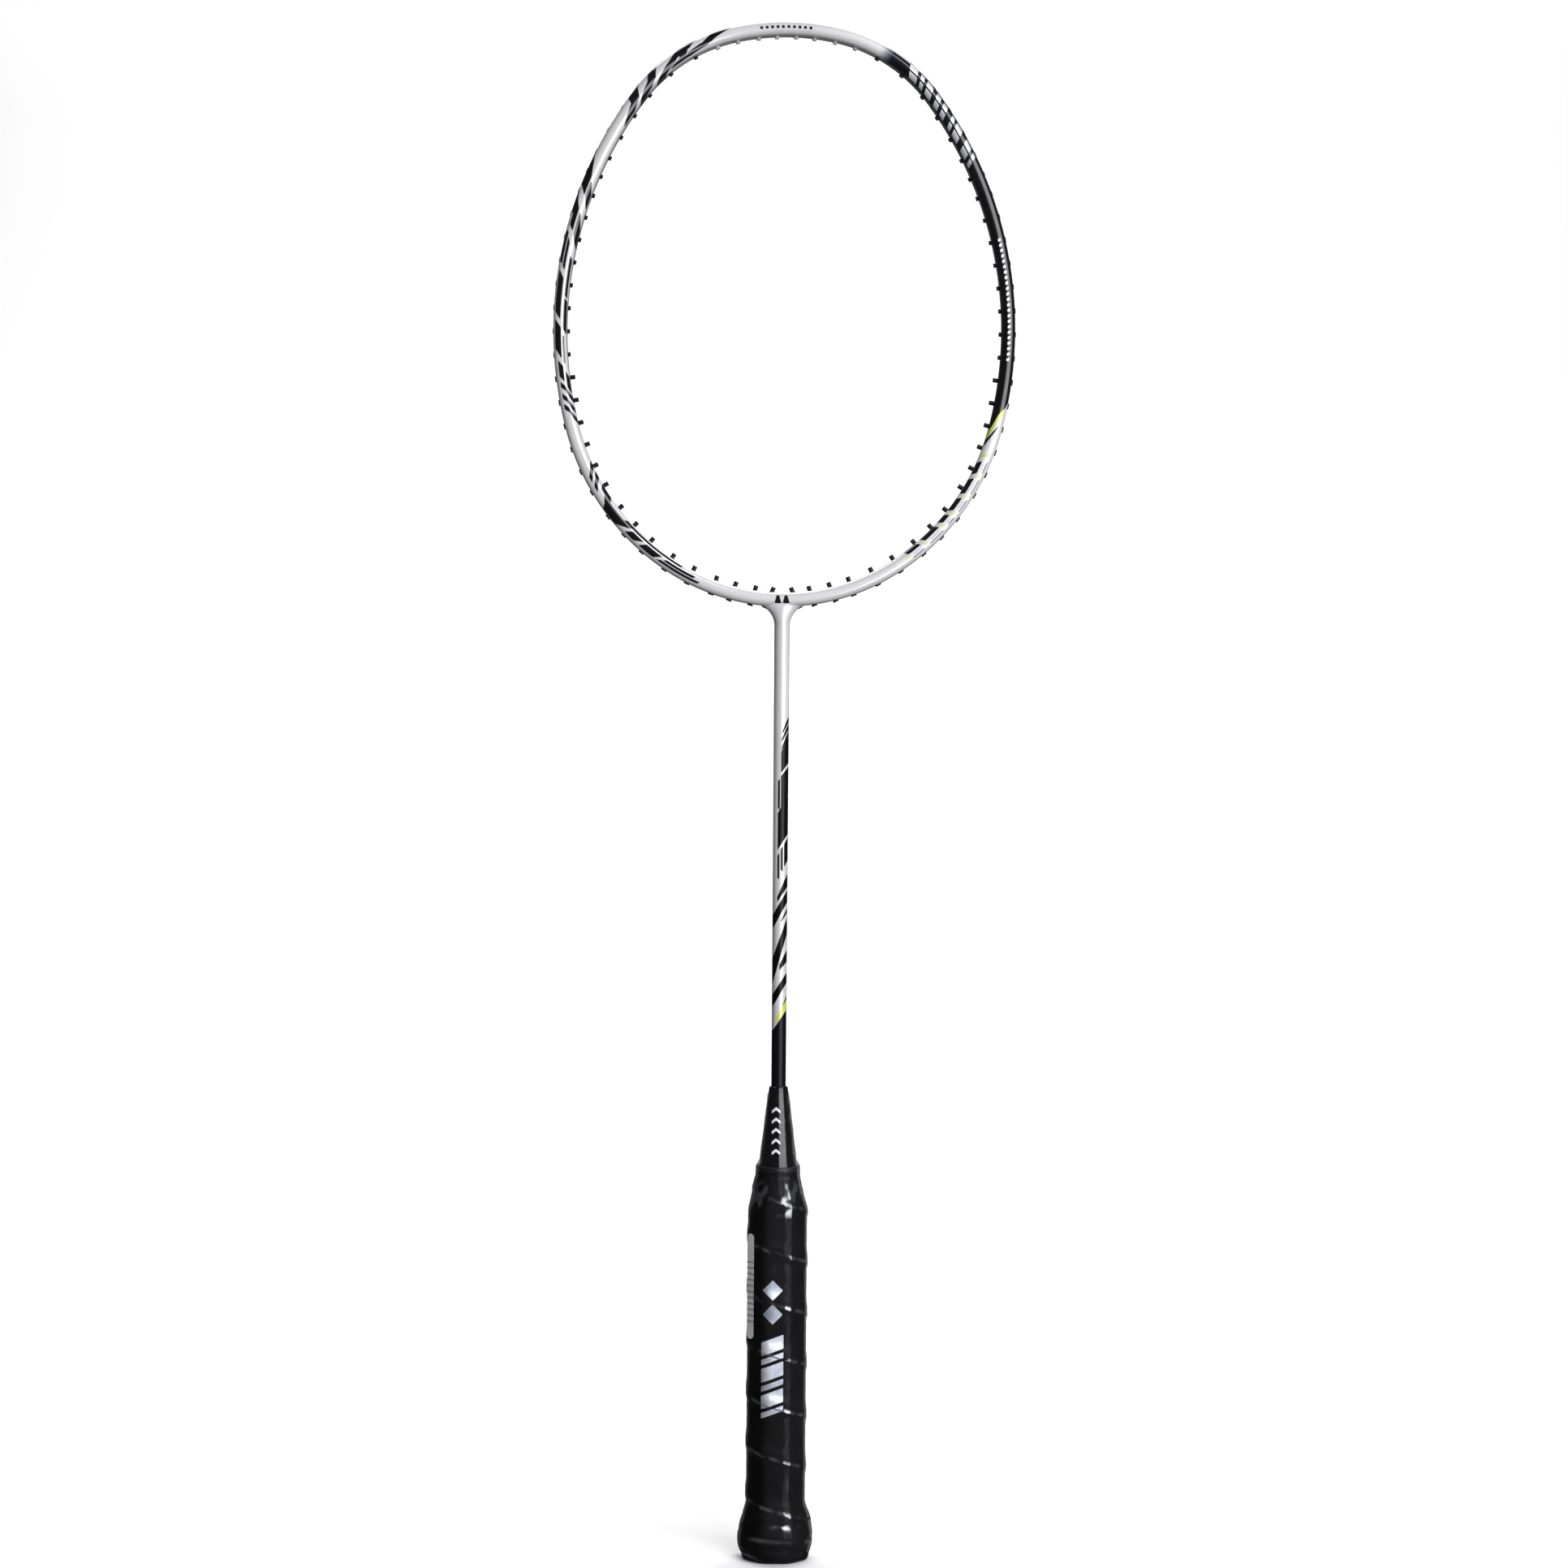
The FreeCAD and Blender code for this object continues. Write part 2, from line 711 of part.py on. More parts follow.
def make_cone_film(size):
    """The upper end of the clear film: round, drawn in over the finishing ring and the cone."""
    body = new_body("cone_film")
    gap = size["layer_gap"]
    film = size["film_thickness"]
    low = size["grip_tip_height"] + gap * 2
    ring_top = low + size["ring_height"] + gap
    over_ring = size["ring_diameter"] / 2 + gap
    top = size["film_top_height"]
    over_cone = cone_slope(size, ring_top + film) + gap
    at_top = cone_slope(size, top) + gap
    revolve(body, [(over_ring, low), (over_ring + film, low), (over_ring + film, ring_top + film),
                   (over_cone + film, ring_top + film * 2), (at_top + film, top), (at_top, top),
                   (over_cone, ring_top + film), (over_ring, ring_top)])
    return body


def make_butt_cap(size):
    """The flat plate that closes the butt."""
    body = new_body("butt_cap")
    sketch = octagon_sketch(size, body, "butt_cap_outline", as_size(0), -size["layer_gap"] * 2)
    pad = body.newObject("PartDesign::Pad", "butt_cap_pad")
    pad.Profile = sketch
    bind(pad, "Length", size["cap_thickness"])
    return body


def make_grip_label(size):
    """A thin sticker with round ends, along the front left bevel and nearer to its left edge."""
    body = new_body("grip_label")
    sketch = new_sketch(body, "grip_label_outline", "XZ_Plane")
    half = size["label_width"] / 2
    low, high = size["label_bottom_height"], size["label_top_height"]
    middle = (as_size(0), (low + high) / 2)
    draw_rounded_rectangle(sketch, middle, half, (high - low) / 2, half * 0.96)
    pad = body.newObject("PartDesign::Pad", "grip_label_pad")
    pad.Profile = sketch
    bind(pad, "Length", size["label_thickness"])
    half_x = size["grip_width"] / 2
    half_y = size["grip_depth"] / 2
    bevel = (half_x + half_y) * size["bevel_share"]
    lift = size["film_thickness"] + size["layer_gap"] * 2
    middle_x = half_x - bevel / 2
    middle_y = half_y - bevel / 2
    normal = FreeCAD.Vector(-1, -1, 0).normalize()
    aside = FreeCAD.Vector(-1, 1, 0).normalize() * size["label_shift"].number
    base = vector3(-middle_x, -middle_y, 0) + aside + normal * lift.number
    turn = FreeCAD.Rotation(FreeCAD.Vector(0, -1, 0), normal)
    body.Placement = FreeCAD.Placement(base, turn)
    return body


# --- the racket --------------------------------------------------------------------------------


def make_racket(size):
    holes = hole_placements(size)
    pieces = [make_head_frame(size, holes)]
    pieces += make_grommet_strips(size, holes)
    pieces += [make_single_grommet(size, *hole) for hole in holes if hole[0] > STRIP_HOLES]
    pieces.append(make_t_joint(size))
    pieces.append(make_shaft_tube(size))
    pieces.append(make_cone_cap(size))
    pieces.append(make_finishing_ring(size))
    pieces.append(make_handle_core(size))
    gap = size["layer_gap"]
    tip = size["grip_tip_height"]
    edge = size["butt_edge_height"]
    pieces.append(make_sleeve(size, "grip_wrap", as_size(0), size["wrap_thickness"], edge, tip))
    film = size["film_thickness"]
    pieces.append(make_sleeve(size, "grip_film", film + gap, film, edge, tip))
    pieces.append(make_cone_film(size))
    pieces.append(make_butt_cap(size))
    pieces.append(make_grip_label(size))
    return pieces


def check_document():
    """Stop if anything in the document failed to build."""
    for item in doc.Objects:
        for trouble in ("Invalid", "Error"):
            if trouble in item.State:
                raise RuntimeError("%s is %s" % (item.Label, item.State))


def write_pieces(pieces):
    for piece in pieces:
        if piece.Shape.isNull() or not piece.Shape.isValid() or not piece.Shape.Solids:
            raise RuntimeError("%s has no valid solid" % piece.Label)
    os.makedirs("parts", exist_ok=True)
    for piece in pieces:
        piece.Shape.exportStep("parts/%s.step" % piece.Label)
        print("%-20s %d solid(s) %10.1f mm3" % (piece.Label, len(piece.Shape.Solids),
                                                piece.Shape.Volume))


racket = make_racket(fill_sheet())
doc.recompute()
check_document()
write_pieces(racket)
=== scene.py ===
import math
import bmesh
import bpy
import numpy as np
from mathutils import Matrix, Vector
from mathutils.bvhtree import BVHTree


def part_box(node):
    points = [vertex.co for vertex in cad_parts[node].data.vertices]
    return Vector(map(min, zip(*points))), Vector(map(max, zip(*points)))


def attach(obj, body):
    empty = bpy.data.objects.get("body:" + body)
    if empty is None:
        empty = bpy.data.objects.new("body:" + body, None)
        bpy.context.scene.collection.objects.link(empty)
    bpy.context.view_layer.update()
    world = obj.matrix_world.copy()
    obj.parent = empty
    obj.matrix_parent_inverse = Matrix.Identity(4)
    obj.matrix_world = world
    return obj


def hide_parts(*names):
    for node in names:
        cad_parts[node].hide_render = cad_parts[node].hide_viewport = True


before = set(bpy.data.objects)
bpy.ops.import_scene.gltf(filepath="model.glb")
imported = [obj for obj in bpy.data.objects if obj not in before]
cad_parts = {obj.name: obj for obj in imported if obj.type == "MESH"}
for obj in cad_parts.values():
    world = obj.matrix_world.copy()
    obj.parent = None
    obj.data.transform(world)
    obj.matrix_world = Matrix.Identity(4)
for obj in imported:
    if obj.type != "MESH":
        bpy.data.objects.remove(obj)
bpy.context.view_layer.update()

# A badminton racket, unstrung. Lengths are in millimetres until a mesh is made, and +Z runs up the
# shaft. The front faces -Y.

MM = 0.001
BODY = "root"

# --- driving dimensions, as in the CAD model ---

LENGTH = 675.0
LOOP_RADII = (105.8, 74.5, 174.8, 105.7, 93.2)
TOP_TURN = 12.9
SHOULDER_TURN = 40.3
BOTTOM_TURN = 31.5
TUBE_WIDTH = 6.0
TUBE_DEPTH = 10.0
TUBE_CORNER = 2.6
GROOVE_DEPTH = 0.75
GROOVE_HALF_WIDTH = 1.6
GROOVE_END_TURN = 95.45
HOLE_DIAMETER = 2.1
STRIP_HOLES = 19
BARREL_REACH = 1.2
SINGLE_REACH = 2.3
HOLE_PITCHES = (
    (1, 4.3), (1, 8.4), (2, 9.6), (1, 11.2), (2, 13.85), (2, 11.5), (1, 10.6), (2, 9.2),
    (12, 10.37), (1, 10.0), (1, 12.4), (2, 10.4), (1, 12.2), (2, 11.25), (2, 9.4), (1, 8.25),
)
HOLE_SLANTS = {32: 9.0, 33: 10.0, 34: 21.0}
NECK_RADIUS = 3.4
FLARE_RADIUS = 9.5
FLARE_TOP = 419.0
NECK_DEPTH = 8.8
SHAFT_BORE = 4.4
GRIP_WIDTH = 26.0
GRIP_DEPTH = 23.6
BEVEL_SHARE = 0.29
WRAP_THICKNESS = 1.4
CONE_LIP_RADIUS = 4.05
CONE_WALL = 0.85
CHEVRON_PITCH = 4.5
CHEVRON_REACH = 1.9
RING_BORE_RADIUS = 8.4
FILM_THICKNESS = 0.05


def node_heights(node):
    """The lowest and highest z of a CAD node, in millimetres."""
    low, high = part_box(node)
    return low.z / MM, high.z / MM


def node_radius(node):
    """Half the width of a CAD node, in millimetres."""
    low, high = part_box(node)
    return (high.x - low.x) / 2 / MM


# --- numbers ---


def smooth_step(low, high, value):
    """0 up to low, 1 from high on, and an even slope without corners between them."""
    share = np.clip((np.asarray(value, float) - low) / (high - low), 0, 1)
    return share * share * (3 - 2 * share)


def ripples(seed, count, *axes):
    """Smooth seeded noise between about -1 and 1: a sum of waves over (values, wavelength) axes."""
    rng = np.random.default_rng(seed)
    total = 0.0
    for wave in range(count):
        angle = rng.uniform(0, 2 * math.pi)
        for values, wavelength in axes:
            pace = rng.normal(0, 1.0) * 2 * math.pi / wavelength
            angle = angle + values * pace
        total = total + np.sin(angle)
    return total / math.sqrt(count / 2) * 0.5


def girth(angles, radius, wavelength):
    """The two ripple axes for places round the Z axis."""
    return (np.sin(angles) * radius, wavelength), (np.cos(angles) * radius, wavelength)


def around(count):
    """Evenly spaced angles for one full turn."""
    return np.linspace(0, 2 * math.pi, count, endpoint=False)


def placed(x, y, z):
    """Points from their coordinates, which are spread over one grid."""
    return np.stack(np.broadcast_arrays(x, y, z), axis=-1)


def turned(radius, angles, heights):
    """Points by distance from the Z axis, angle round it from the front, and height."""
    return placed(radius * np.sin(angles), -radius * np.cos(angles), heights)


# --- the loop's path ---


def loop_arcs():
    """Centre, radius, first and last turn of each arc of the tube's middle line, right half."""
    top, shoulder, side, lower, bottom = LOOP_RADII
    first = TOP_TURN
    second = TOP_TURN + SHOULDER_TURN
    fourth = 180 - BOTTOM_TURN
    sines = [math.sin(math.radians(turn)) for turn in (first, second, fourth)]
    reach = (shoulder - top) * sines[0] + (side - shoulder) * sines[1] - (lower - bottom) * sines[2]
    third = 180 - math.degrees(math.asin(reach / (side - lower)))
    turns = [math.radians(turn) for turn in (0, first, second, third, fourth, 180)]
    x, z = 0.0, LENGTH - TUBE_WIDTH / 2
    arcs = []
    for outer, start, end in zip(LOOP_RADII, turns, turns[1:]):
        radius = outer - TUBE_WIDTH / 2
        centre = (x - radius * math.sin(start), z - radius * math.cos(start))
        arcs.append((centre, radius, start, end))
        x = centre[0] + radius * math.sin(end)
        z = centre[1] + radius * math.cos(end)
    return arcs


ARCS = loop_arcs()
HALF_LOOP = sum(radius * (end - start) for centre, radius, start, end in ARCS)
LOOP_BOTTOM = ARCS[-1][0][1] - ARCS[-1][1]


def loop_point(distance):
    """Points and outward directions at distances along the middle line, negative on the left."""
    distance = np.asarray(distance, float)
    along = np.abs(distance)
    side = np.where(distance < 0, -1.0, 1.0)
    x = np.zeros_like(along)
    z = np.zeros_like(along)
    turn = np.zeros_like(along)
    begun = 0.0
    for centre, radius, start, end in ARCS:
        here = along >= begun - 1e-9
        angle = start + (along - begun) / radius
        x = np.where(here, centre[0] + radius * np.sin(angle), x)
        z = np.where(here, centre[1] + radius * np.cos(angle), z)
        turn = np.where(here, angle, turn)
        begun += radius * (end - start)
    return x * side, z, np.sin(turn) * side, np.cos(turn), np.degrees(turn)


# --- painted marks ---
# Marks are convex outlines in millimetres. A mesh keeps, for each layer of paint, how far inside
# the nearest mark every point is, plus 1, and the material draws the layer where that passes 1.


def inside(points, across, along):
    """How far each place lies inside a convex outline, negative outside."""
    points = np.array(points, float)
    following = np.roll(points, -1, axis=0)
    area = np.sum(points[:, 0] * following[:, 1] - following[:, 0] * points[:, 1])
    if area < 0:
        points, following = following[::-1], points[::-1]
    depth = np.full(np.shape(across), 1e9)
    for (a, b), (c, d) in zip(points, following):
        length = math.hypot(c - a, d - b)
        depth = np.minimum(depth, ((c - a) * (along - b) - (d - b) * (across - a)) / length)
    return depth


def layer_of(marks, across, along):
    """One layer of paint: how far inside the nearest of its marks each place is, plus 1."""
    depth = np.full(np.shape(across), -1.0)
    for points in marks:
        depth = np.maximum(depth, inside(points, across, along))
    return np.clip(depth, -1, 1) + 1


def slanted_bar(first, last, high, low, lean):
    """A bar from first to last along the tube, whose lower edge is lean further along."""
    return [(first, high), (last, high), (last + lean, low), (first + lean, low)]


# Marks that run off the tube's outer edge start this high. Ink marks are a little wider than drawn.
EDGE = 3.6
INK_SPREAD = 0.13


def ribbon(*sections):
    """Marks between neighbouring cross-lines, each a height and where it begins and ends."""
    return [[(a, high), (b, high), (d, low), (c, low)]
            for (high, a, b), (low, c, d) in zip(sections, sections[1:])]


# Left half: height outwards from the tube's middle line, and distances down it from the top centre.
LEFT_RIBBONS = [
    ((EDGE, 22.4, 30.8), (2.6, 23.7, 32), (0.1, 31.6, 37.6), (-0.8, 34.0, 44.2),
     (-1.75, 37.6, 47.4), (-2.4, 45, 49)),
    ((0.3, 45, 48.6), (-1.0, 46.6, 50), (-2.5, 49, 55.5)),
    ((EDGE, 39.2, 47.8), (2.6, 40.0, 49.2), (0.6, 44.4, 54), (-0.2, 50.4, 56.6),
     (-1.4, 53.2, 60.2), (-3.0, 60, 64.8)),
    ((EDGE, 59.2, 63.8), (0.25, 62.6, 67.6), (-1, 63.8, 71.8), (-2.5, 68.6, 75.6),
     (-3.1, 74, 77)),
    ((EDGE, 70.9, 77.5), (0.1, 74, 79.4), (-1.1, 75.2, 83.7), (-2.7, 80.8, 89)),
    ((EDGE, 103.2, 118.8), (1.25, 110.6, 122.2), (-0.2, 116, 124.6)),
    ((-0.9, 118, 124.4), (-1.6, 119.2, 126.6), (-2.8, 123.4, 130)),
    ((EDGE, 120.4, 131.4), (1.7, 127.2, 133.8)),
    ((1.7, 127.4, 138.6), (0.0, 131.2, 141)),
    ((-0.9, 132.6, 142.2), (-1.7, 134.2, 144.8), (-2.9, 139.6, 148)),
    ((2.4, 141.4, 155), (1.5, 142.2, 156)),
    ((0.9, 144.4, 157), (0.0, 146.6, 158.6)),
    ((-1.5, 152.2, 169.6), (-2.5, 153.6, 171)),
    ((2.0, 159, 177), (-0.1, 162.4, 180.3)),
    ((-1.5, 171, 184.4), (-2.7, 172.4, 186.6)),
    ((1.9, 180.6, 193.2), (-0.4, 184, 197.4)),
    ((-1.3, 187.5, 199.5), (-1.75, 188, 200)),
    ((1.1, 198.6, 205.4), (-0.7, 201.2, 207.8)),
    ((-1.6, 203.6, 210.4), (-2.8, 206, 213)),
    ((0.6, 251.4, 253.9), (-1.0, 249, 251.4), (-2.9, 245, 247.8)),
    ((0.6, 256.1, 258.6), (-1.0, 253.8, 256.2), (-2.9, 250.2, 253.2)),
    ((2.5, 266, 274), (1.0, 264.8, 276.8), (-0.3, 263, 279.2), (-1.3, 261.4, 280.6)),
    ((-1.3, 259, 266), (-2.8, 256.8, 264)),
    ((-1.6, 276, 308.4), (-2.3, 277, 309.4)),
    ((1.6, 279.6, 284.8), (-0.85, 282.2, 288.6)),
    ((1.6, 288, 295.8), (-0.85, 290.6, 299)),
    ((1.45, 298, 318), (0.65, 299.6, 319)),
    ((0.05, 300.6, 315.4), (-0.8, 302, 316.4)),
]
for start in (208.0, 213.0, 217.7):
    LEFT_RIBBONS.append(((1.1, start, start + 2.3), (-0.7, start + 2.1, start + 4.0),
                         (-1.6, start + 4.2, start + 6.6), (-3.0, start + 7.2, start + 9.3)))
LEFT_DARK = [mark for sections in LEFT_RIBBONS for mark in ribbon(*sections)]

# Right half, in the same way. Its dark paint fades in from the top, past the dashes over the top
# centre, and ends at a slanted edge.
FADE = (42.0, 54.0)
DASHES_END = 20.0
RIGHT_DARK = [[(40, 6), (205, 6), (240.5, -5), (40, -5)]]
RIGHT_DARK += ribbon((0.9, 225.6, 227), (-1.0, 229.4, 231.6), (-3.0, 233.6, 237))
RIGHT_LIME = ribbon((1.7, 218, 220.8), (-0.3, 221.4, 225), (-1.6, 226, 229.6), (-3.3, 230.4, 234.6))
RIGHT_LIME += ribbon((1.2, 238.4, 239.4), (-2.2, 240.6, 241.6))
RIGHT_SILVER = []
for start, width in ((57, 4.6), (63.4, 2.2), (67.4, 4.0), (74, 3.0), (79, 3.0), (85.5, 2.2),
                     (89.4, 4.6), (97.5, 4.6), (104, 2.2)):
    RIGHT_SILVER.append(slanted_bar(start, start + width, 2.3, 0.3, 1.3))
    RIGHT_SILVER.append(slanted_bar(start + 1.8, start + width + 1.8, -0.4, -2.6, 1.5))
# Lavender-grey bars between the dark letters at the right half's lower end: a painted highlight
# where the softbox's reflection crosses the dark paint.
RIGHT_PAINTED_SHEEN = []
for start, width in ((242.4, 6.6), (250.8, 8.4), (261, 7.4), (270.3, 5.2), (277.4, 9.2),
                     (288.6, 7.6)):
    end = start + width
    RIGHT_PAINTED_SHEEN.append(slanted_bar(start + 0.8, end - width * 0.3, 0.9, 0.1, 0.6))
    RIGHT_DARK.append(slanted_bar(start + 0.4, end - 0.2, -0.9, -2.9, 1.6))
    RIGHT_DARK.append(slanted_bar(start, end - 1.2, 1.6, 1.1, 0.4))
    RIGHT_LIME.append(slanted_bar(end - 0.5, end + 0.3, 1.1, -0.9, 1.6))
RIGHT_WHITE = [slanted_bar(u, u + 1.3, 0.7, -0.5, 0.3) for u in np.arange(143, 196, 2.4)]

# Small dashes over the top centre, and two short bars over the neck.
TOP_DASHES = [slanted_bar(u, u + 1.3, 0.65, -0.65, 0.0) for u in np.arange(-11.6, 11, 2.4)]
NECK_BARS = [[(-3.4, 1.8), (-0.4, 1.8), (-1.3, -1.7), (-2.5, -1.7)],
             [(0.2, 1.8), (3.2, 1.8), (2.3, -1.7), (1.1, -1.7)]]


def frame_layers(distance, height):
    """The loop's layers of paint at distances along the tube and heights out from its middle."""
    down = np.abs(distance)
    left = distance < 0
    from_bottom = np.where(left, down - HALF_LOOP, HALF_LOOP - down)
    dark = np.where(left, layer_of(LEFT_DARK, down, height) + INK_SPREAD,
                    layer_of(RIGHT_DARK, down, height))
    dark = np.maximum(dark, layer_of(TOP_DASHES, distance, height))
    dark = np.maximum(dark, layer_of(NECK_BARS, from_bottom, height))
    # Layers on the right half only. The lavender-grey one is a painted highlight, the others are
    # paint.
    right_only = {"lime": RIGHT_LIME, "silver": RIGHT_SILVER, "chalk": RIGHT_WHITE,
                  "painted_sheen": RIGHT_PAINTED_SHEEN}
    layers = {name: np.where(left, 0.0, layer_of(marks, down, height))
              for name, marks in right_only.items()}
    layers["dark"] = dark
    layers["faded"] = np.where(left | (down < DASHES_END), 0.0, 1 - smooth_step(*FADE, down))
    return layers


SHAFT_EDGE = 3.6


def slash(top, bottom, left, left_top, left_bottom, right=SHAFT_EDGE):
    """A mark on the shaft: the heights of its right end, and its left end's place and heights."""
    return [(right, top), (right, bottom), (left, left_bottom), (left, left_top)]


SHAFT_DARK = [
    slash(370.4, 368.4, 0.7, 363.2, 362.2),
    slash(367.3, 365.1, 0.4, 359.8, 358.6),
    slash(364.2, 361.9, 0.4, 356.2, 355.0),
    slash(361.5, 350.0, 0.2, 354.0, 345.0),
    slash(347.9, 336.8, 0.2, 343.5, 328.6),
    slash(342.0, 328.6, -1.1, 341.0, 329.6, right=-0.5),
    slash(335.6, 318.9, -1.1, 327.1, 311.4),
    slash(317.1, 307.5, 1.8, 313.6, 304.0),
    slash(312.6, 301.4, 0.3, 311.4, 302.6, right=1.1),
    slash(309.4, 298.0, -1.1, 308.4, 299.0, right=-0.5),
    slash(301.4, 295.7, -1.1, 290.4, 288.4),
    slash(293.9, 289.2, -SHAFT_EDGE, 281.4, 275.6),
    slash(286.0, 284.6, 0.6, 280.0, 279.4),
    slash(282.1, 276.1, -SHAFT_EDGE, 261.8, 250.6),
    slash(267.9, 262.6, 0.1, 260.6, 258.4),
    slash(257.7, 253.7, -SHAFT_EDGE, 246.4, 241.2),
    slash(248.0, 245.0, 1.5, 242.4, 241.4),
    slash(241.3, 120.0, -SHAFT_EDGE, 230.4, 120.0),
]
SHAFT_LIME = [slash(246.2, 241.8, -1.2, 237.6, 234.4)]


def shaft_layers(points):
    """The shaft's layers of paint. Its ink is satin, with little clear coat over it."""
    across, height = points[:, 0], points[:, 2]
    ink = layer_of(SHAFT_DARK, across, height)
    lime = layer_of(SHAFT_LIME, across, height)
    return {"dark": ink + INK_SPREAD, "lime": lime, "satin": ink}


# --- meshes ---


def grid_faces(rows, columns, around_rows, around_columns):
    """Quads between neighbouring points of a grid, which may close on itself either way."""
    row = np.arange(rows if around_rows else rows - 1)
    column = np.arange(columns if around_columns else columns - 1)
    i, j = np.meshgrid(row, column, indexing="ij")
    following = (i + 1) % rows
    beside = (j + 1) % columns
    faces = np.stack([i * columns + j, i * columns + beside,
                      following * columns + beside, following * columns + j], axis=-1)
    return faces.reshape(-1, 4).tolist()


def capped_faces(rows, columns):
    """The quads of a stack of rings, and one face over each end."""
    last = (rows - 1) * columns
    ends = [list(range(columns)), list(range(last, last + columns))]
    return grid_faces(rows, columns, False, True) + ends


def make_piece(name, points, faces, material, replaces, sharp=40):
    """A mesh from points in millimetres, which rides on the racket's one body."""
    mesh = bpy.data.meshes.new(name)
    mesh.from_pydata((np.asarray(points, float).reshape(-1, 3) * MM).tolist(), [], faces)
    mesh.validate()
    mesh.update()
    work = bmesh.new()
    work.from_mesh(mesh)
    bmesh.ops.remove_doubles(work, verts=work.verts, dist=1e-6)
    bmesh.ops.recalc_face_normals(work, faces=work.faces)
    work.to_mesh(mesh)
    work.free()
    mesh.materials.append(material)
    piece = bpy.data.objects.new(name, mesh)
    bpy.context.scene.collection.objects.link(piece)
    shade(piece, sharp)
    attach(piece, BODY)
    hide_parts(*replaces)
    return piece


def make_tube(name, points, material, replaces, sharp=50):
    """A piece from rows of points which close on themselves both ways."""
    faces = grid_faces(*points.shape[:2], True, True)
    return make_piece(name, points, faces, material, replaces, sharp)


def shade(piece, sharp):
    """Smooth shading, broken where faces meet at more than the given angle."""
    piece.data.shade_smooth()
    piece.data.set_sharp_from_angle(angle=math.radians(sharp))


def keep_layers(piece, layers_at):
    """Store each paint layer on the mesh's points. layers_at takes the points in millimetres."""
    mesh = piece.data
    co = np.zeros(len(mesh.vertices) * 3)
    mesh.vertices.foreach_get("co", co)
    for layer, values in layers_at(co.reshape(-1, 3) / MM).items():
        attribute = mesh.attributes.new(layer, "FLOAT", "POINT")
        attribute.data.foreach_set("value", np.asarray(values, np.float32))


def apply_modifiers(piece):
    """Keep the piece's final mesh and drop the modifiers that made it."""
    graph = bpy.context.evaluated_depsgraph_get()
    final = bpy.data.meshes.new_from_object(piece.evaluated_get(graph))
    piece.modifiers.clear()
    piece.data = final


# How finely the tube is cut: along the loop, and round each of its corners.
LOOP_COLUMNS = 1150
FRONT_STEPS = 18
BACK_STEPS = 11


def tube_section(steps):
    """Half of the tube's section, from the groove's middle round one side to the inner face:
    height out from the middle line, distance from the head's plane, and share of the groove."""
    half = TUBE_WIDTH / 2
    corner_out = half - TUBE_CORNER
    corner_side = TUBE_DEPTH / 2 - TUBE_CORNER
    points = [(half, y, 1.0) for y in (0.0, 0.53, 1.06, GROOVE_HALF_WIDTH)]
    points += [(half, y, 0.0) for y in (GROOVE_HALF_WIDTH + 0.08, 2.05)]
    for step in range(steps + 1):
        angle = math.pi / 2 * step / steps
        points.append((corner_out + TUBE_CORNER * math.cos(angle),
                       corner_side + TUBE_CORNER * math.sin(angle), 0.0))
    points.append((0.0, TUBE_DEPTH / 2, 0.0))
    for step in range(steps + 1):
        angle = math.pi / 2 * (1 + step / steps)
        points.append((-corner_out + TUBE_CORNER * math.cos(angle),
                       corner_side + TUBE_CORNER * math.sin(angle), 0.0))
    points += [(-half, y, 0.0) for y in (1.6, 0.8, 0.0)]
    return points


def loop_grid(distances, shrink=0.0):
    """Points of the tube's skin: one row of section points for each distance round the loop,
    drawn in by shrink on every side."""
    front = [(out, -y, share) for out, y, share in tube_section(FRONT_STEPS)]
    back = tube_section(BACK_STEPS)[-2:0:-1]
    section = np.array(front + back)
    x, z, out_x, out_z, turn = loop_point(distances)
    groove = GROOVE_DEPTH * (1 - smooth_step(GROOVE_END_TURN - 0.1, GROOVE_END_TURN + 0.1, turn))
    height = section[None, :, 0] - groove[:, None] * section[None, :, 2]
    height = height * (1 - shrink / TUBE_WIDTH * 2)
    side = section[None, :, 1] * (1 - shrink / TUBE_DEPTH * 2)
    return placed(x[:, None] + out_x[:, None] * height, side, z[:, None] + out_z[:, None] * height)


def hole_axes():
    """Both ends of a drill through the tube for every string hole."""
    distance = 0.0
    number = 0
    for count, pitch in HOLE_PITCHES:
        for step in range(count):
            distance += pitch
            number += 1
            for side in (-1, 1):
                x, z, out_x, out_z, turn = (float(v) for v in loop_point(side * distance))
                slant = math.radians(HOLE_SLANTS.get(number, 0.0))
                aim = math.radians(turn) - slant
                reach = BARREL_REACH if number <= STRIP_HOLES else SINGLE_REACH
                inset = TUBE_WIDTH / 2 + reach
                base = Vector((x - out_x * inset, 0, z - out_z * inset))
                way = Vector((side * math.sin(aim), 0, math.cos(aim)))
                yield base - way, base + way * (TUBE_WIDTH * 2)


def make_drills():
    """All the string holes' drills as one mesh."""
    work = bmesh.new()
    for start, end in hole_axes():
        way = end - start
        turn = way.to_track_quat("Z", "Y").to_matrix().to_4x4()
        place = Matrix.Translation((start + end) / 2 * MM) @ turn
        bmesh.ops.create_cone(work, cap_ends=True, segments=24, radius1=HOLE_DIAMETER / 2 * MM,
                              radius2=HOLE_DIAMETER / 2 * MM, depth=way.length * MM, matrix=place)
    mesh = bpy.data.meshes.new("string_hole_drills")
    work.to_mesh(mesh)
    work.free()
    drills = bpy.data.objects.new("string_hole_drills", mesh)
    bpy.context.scene.collection.objects.link(drills)
    return drills


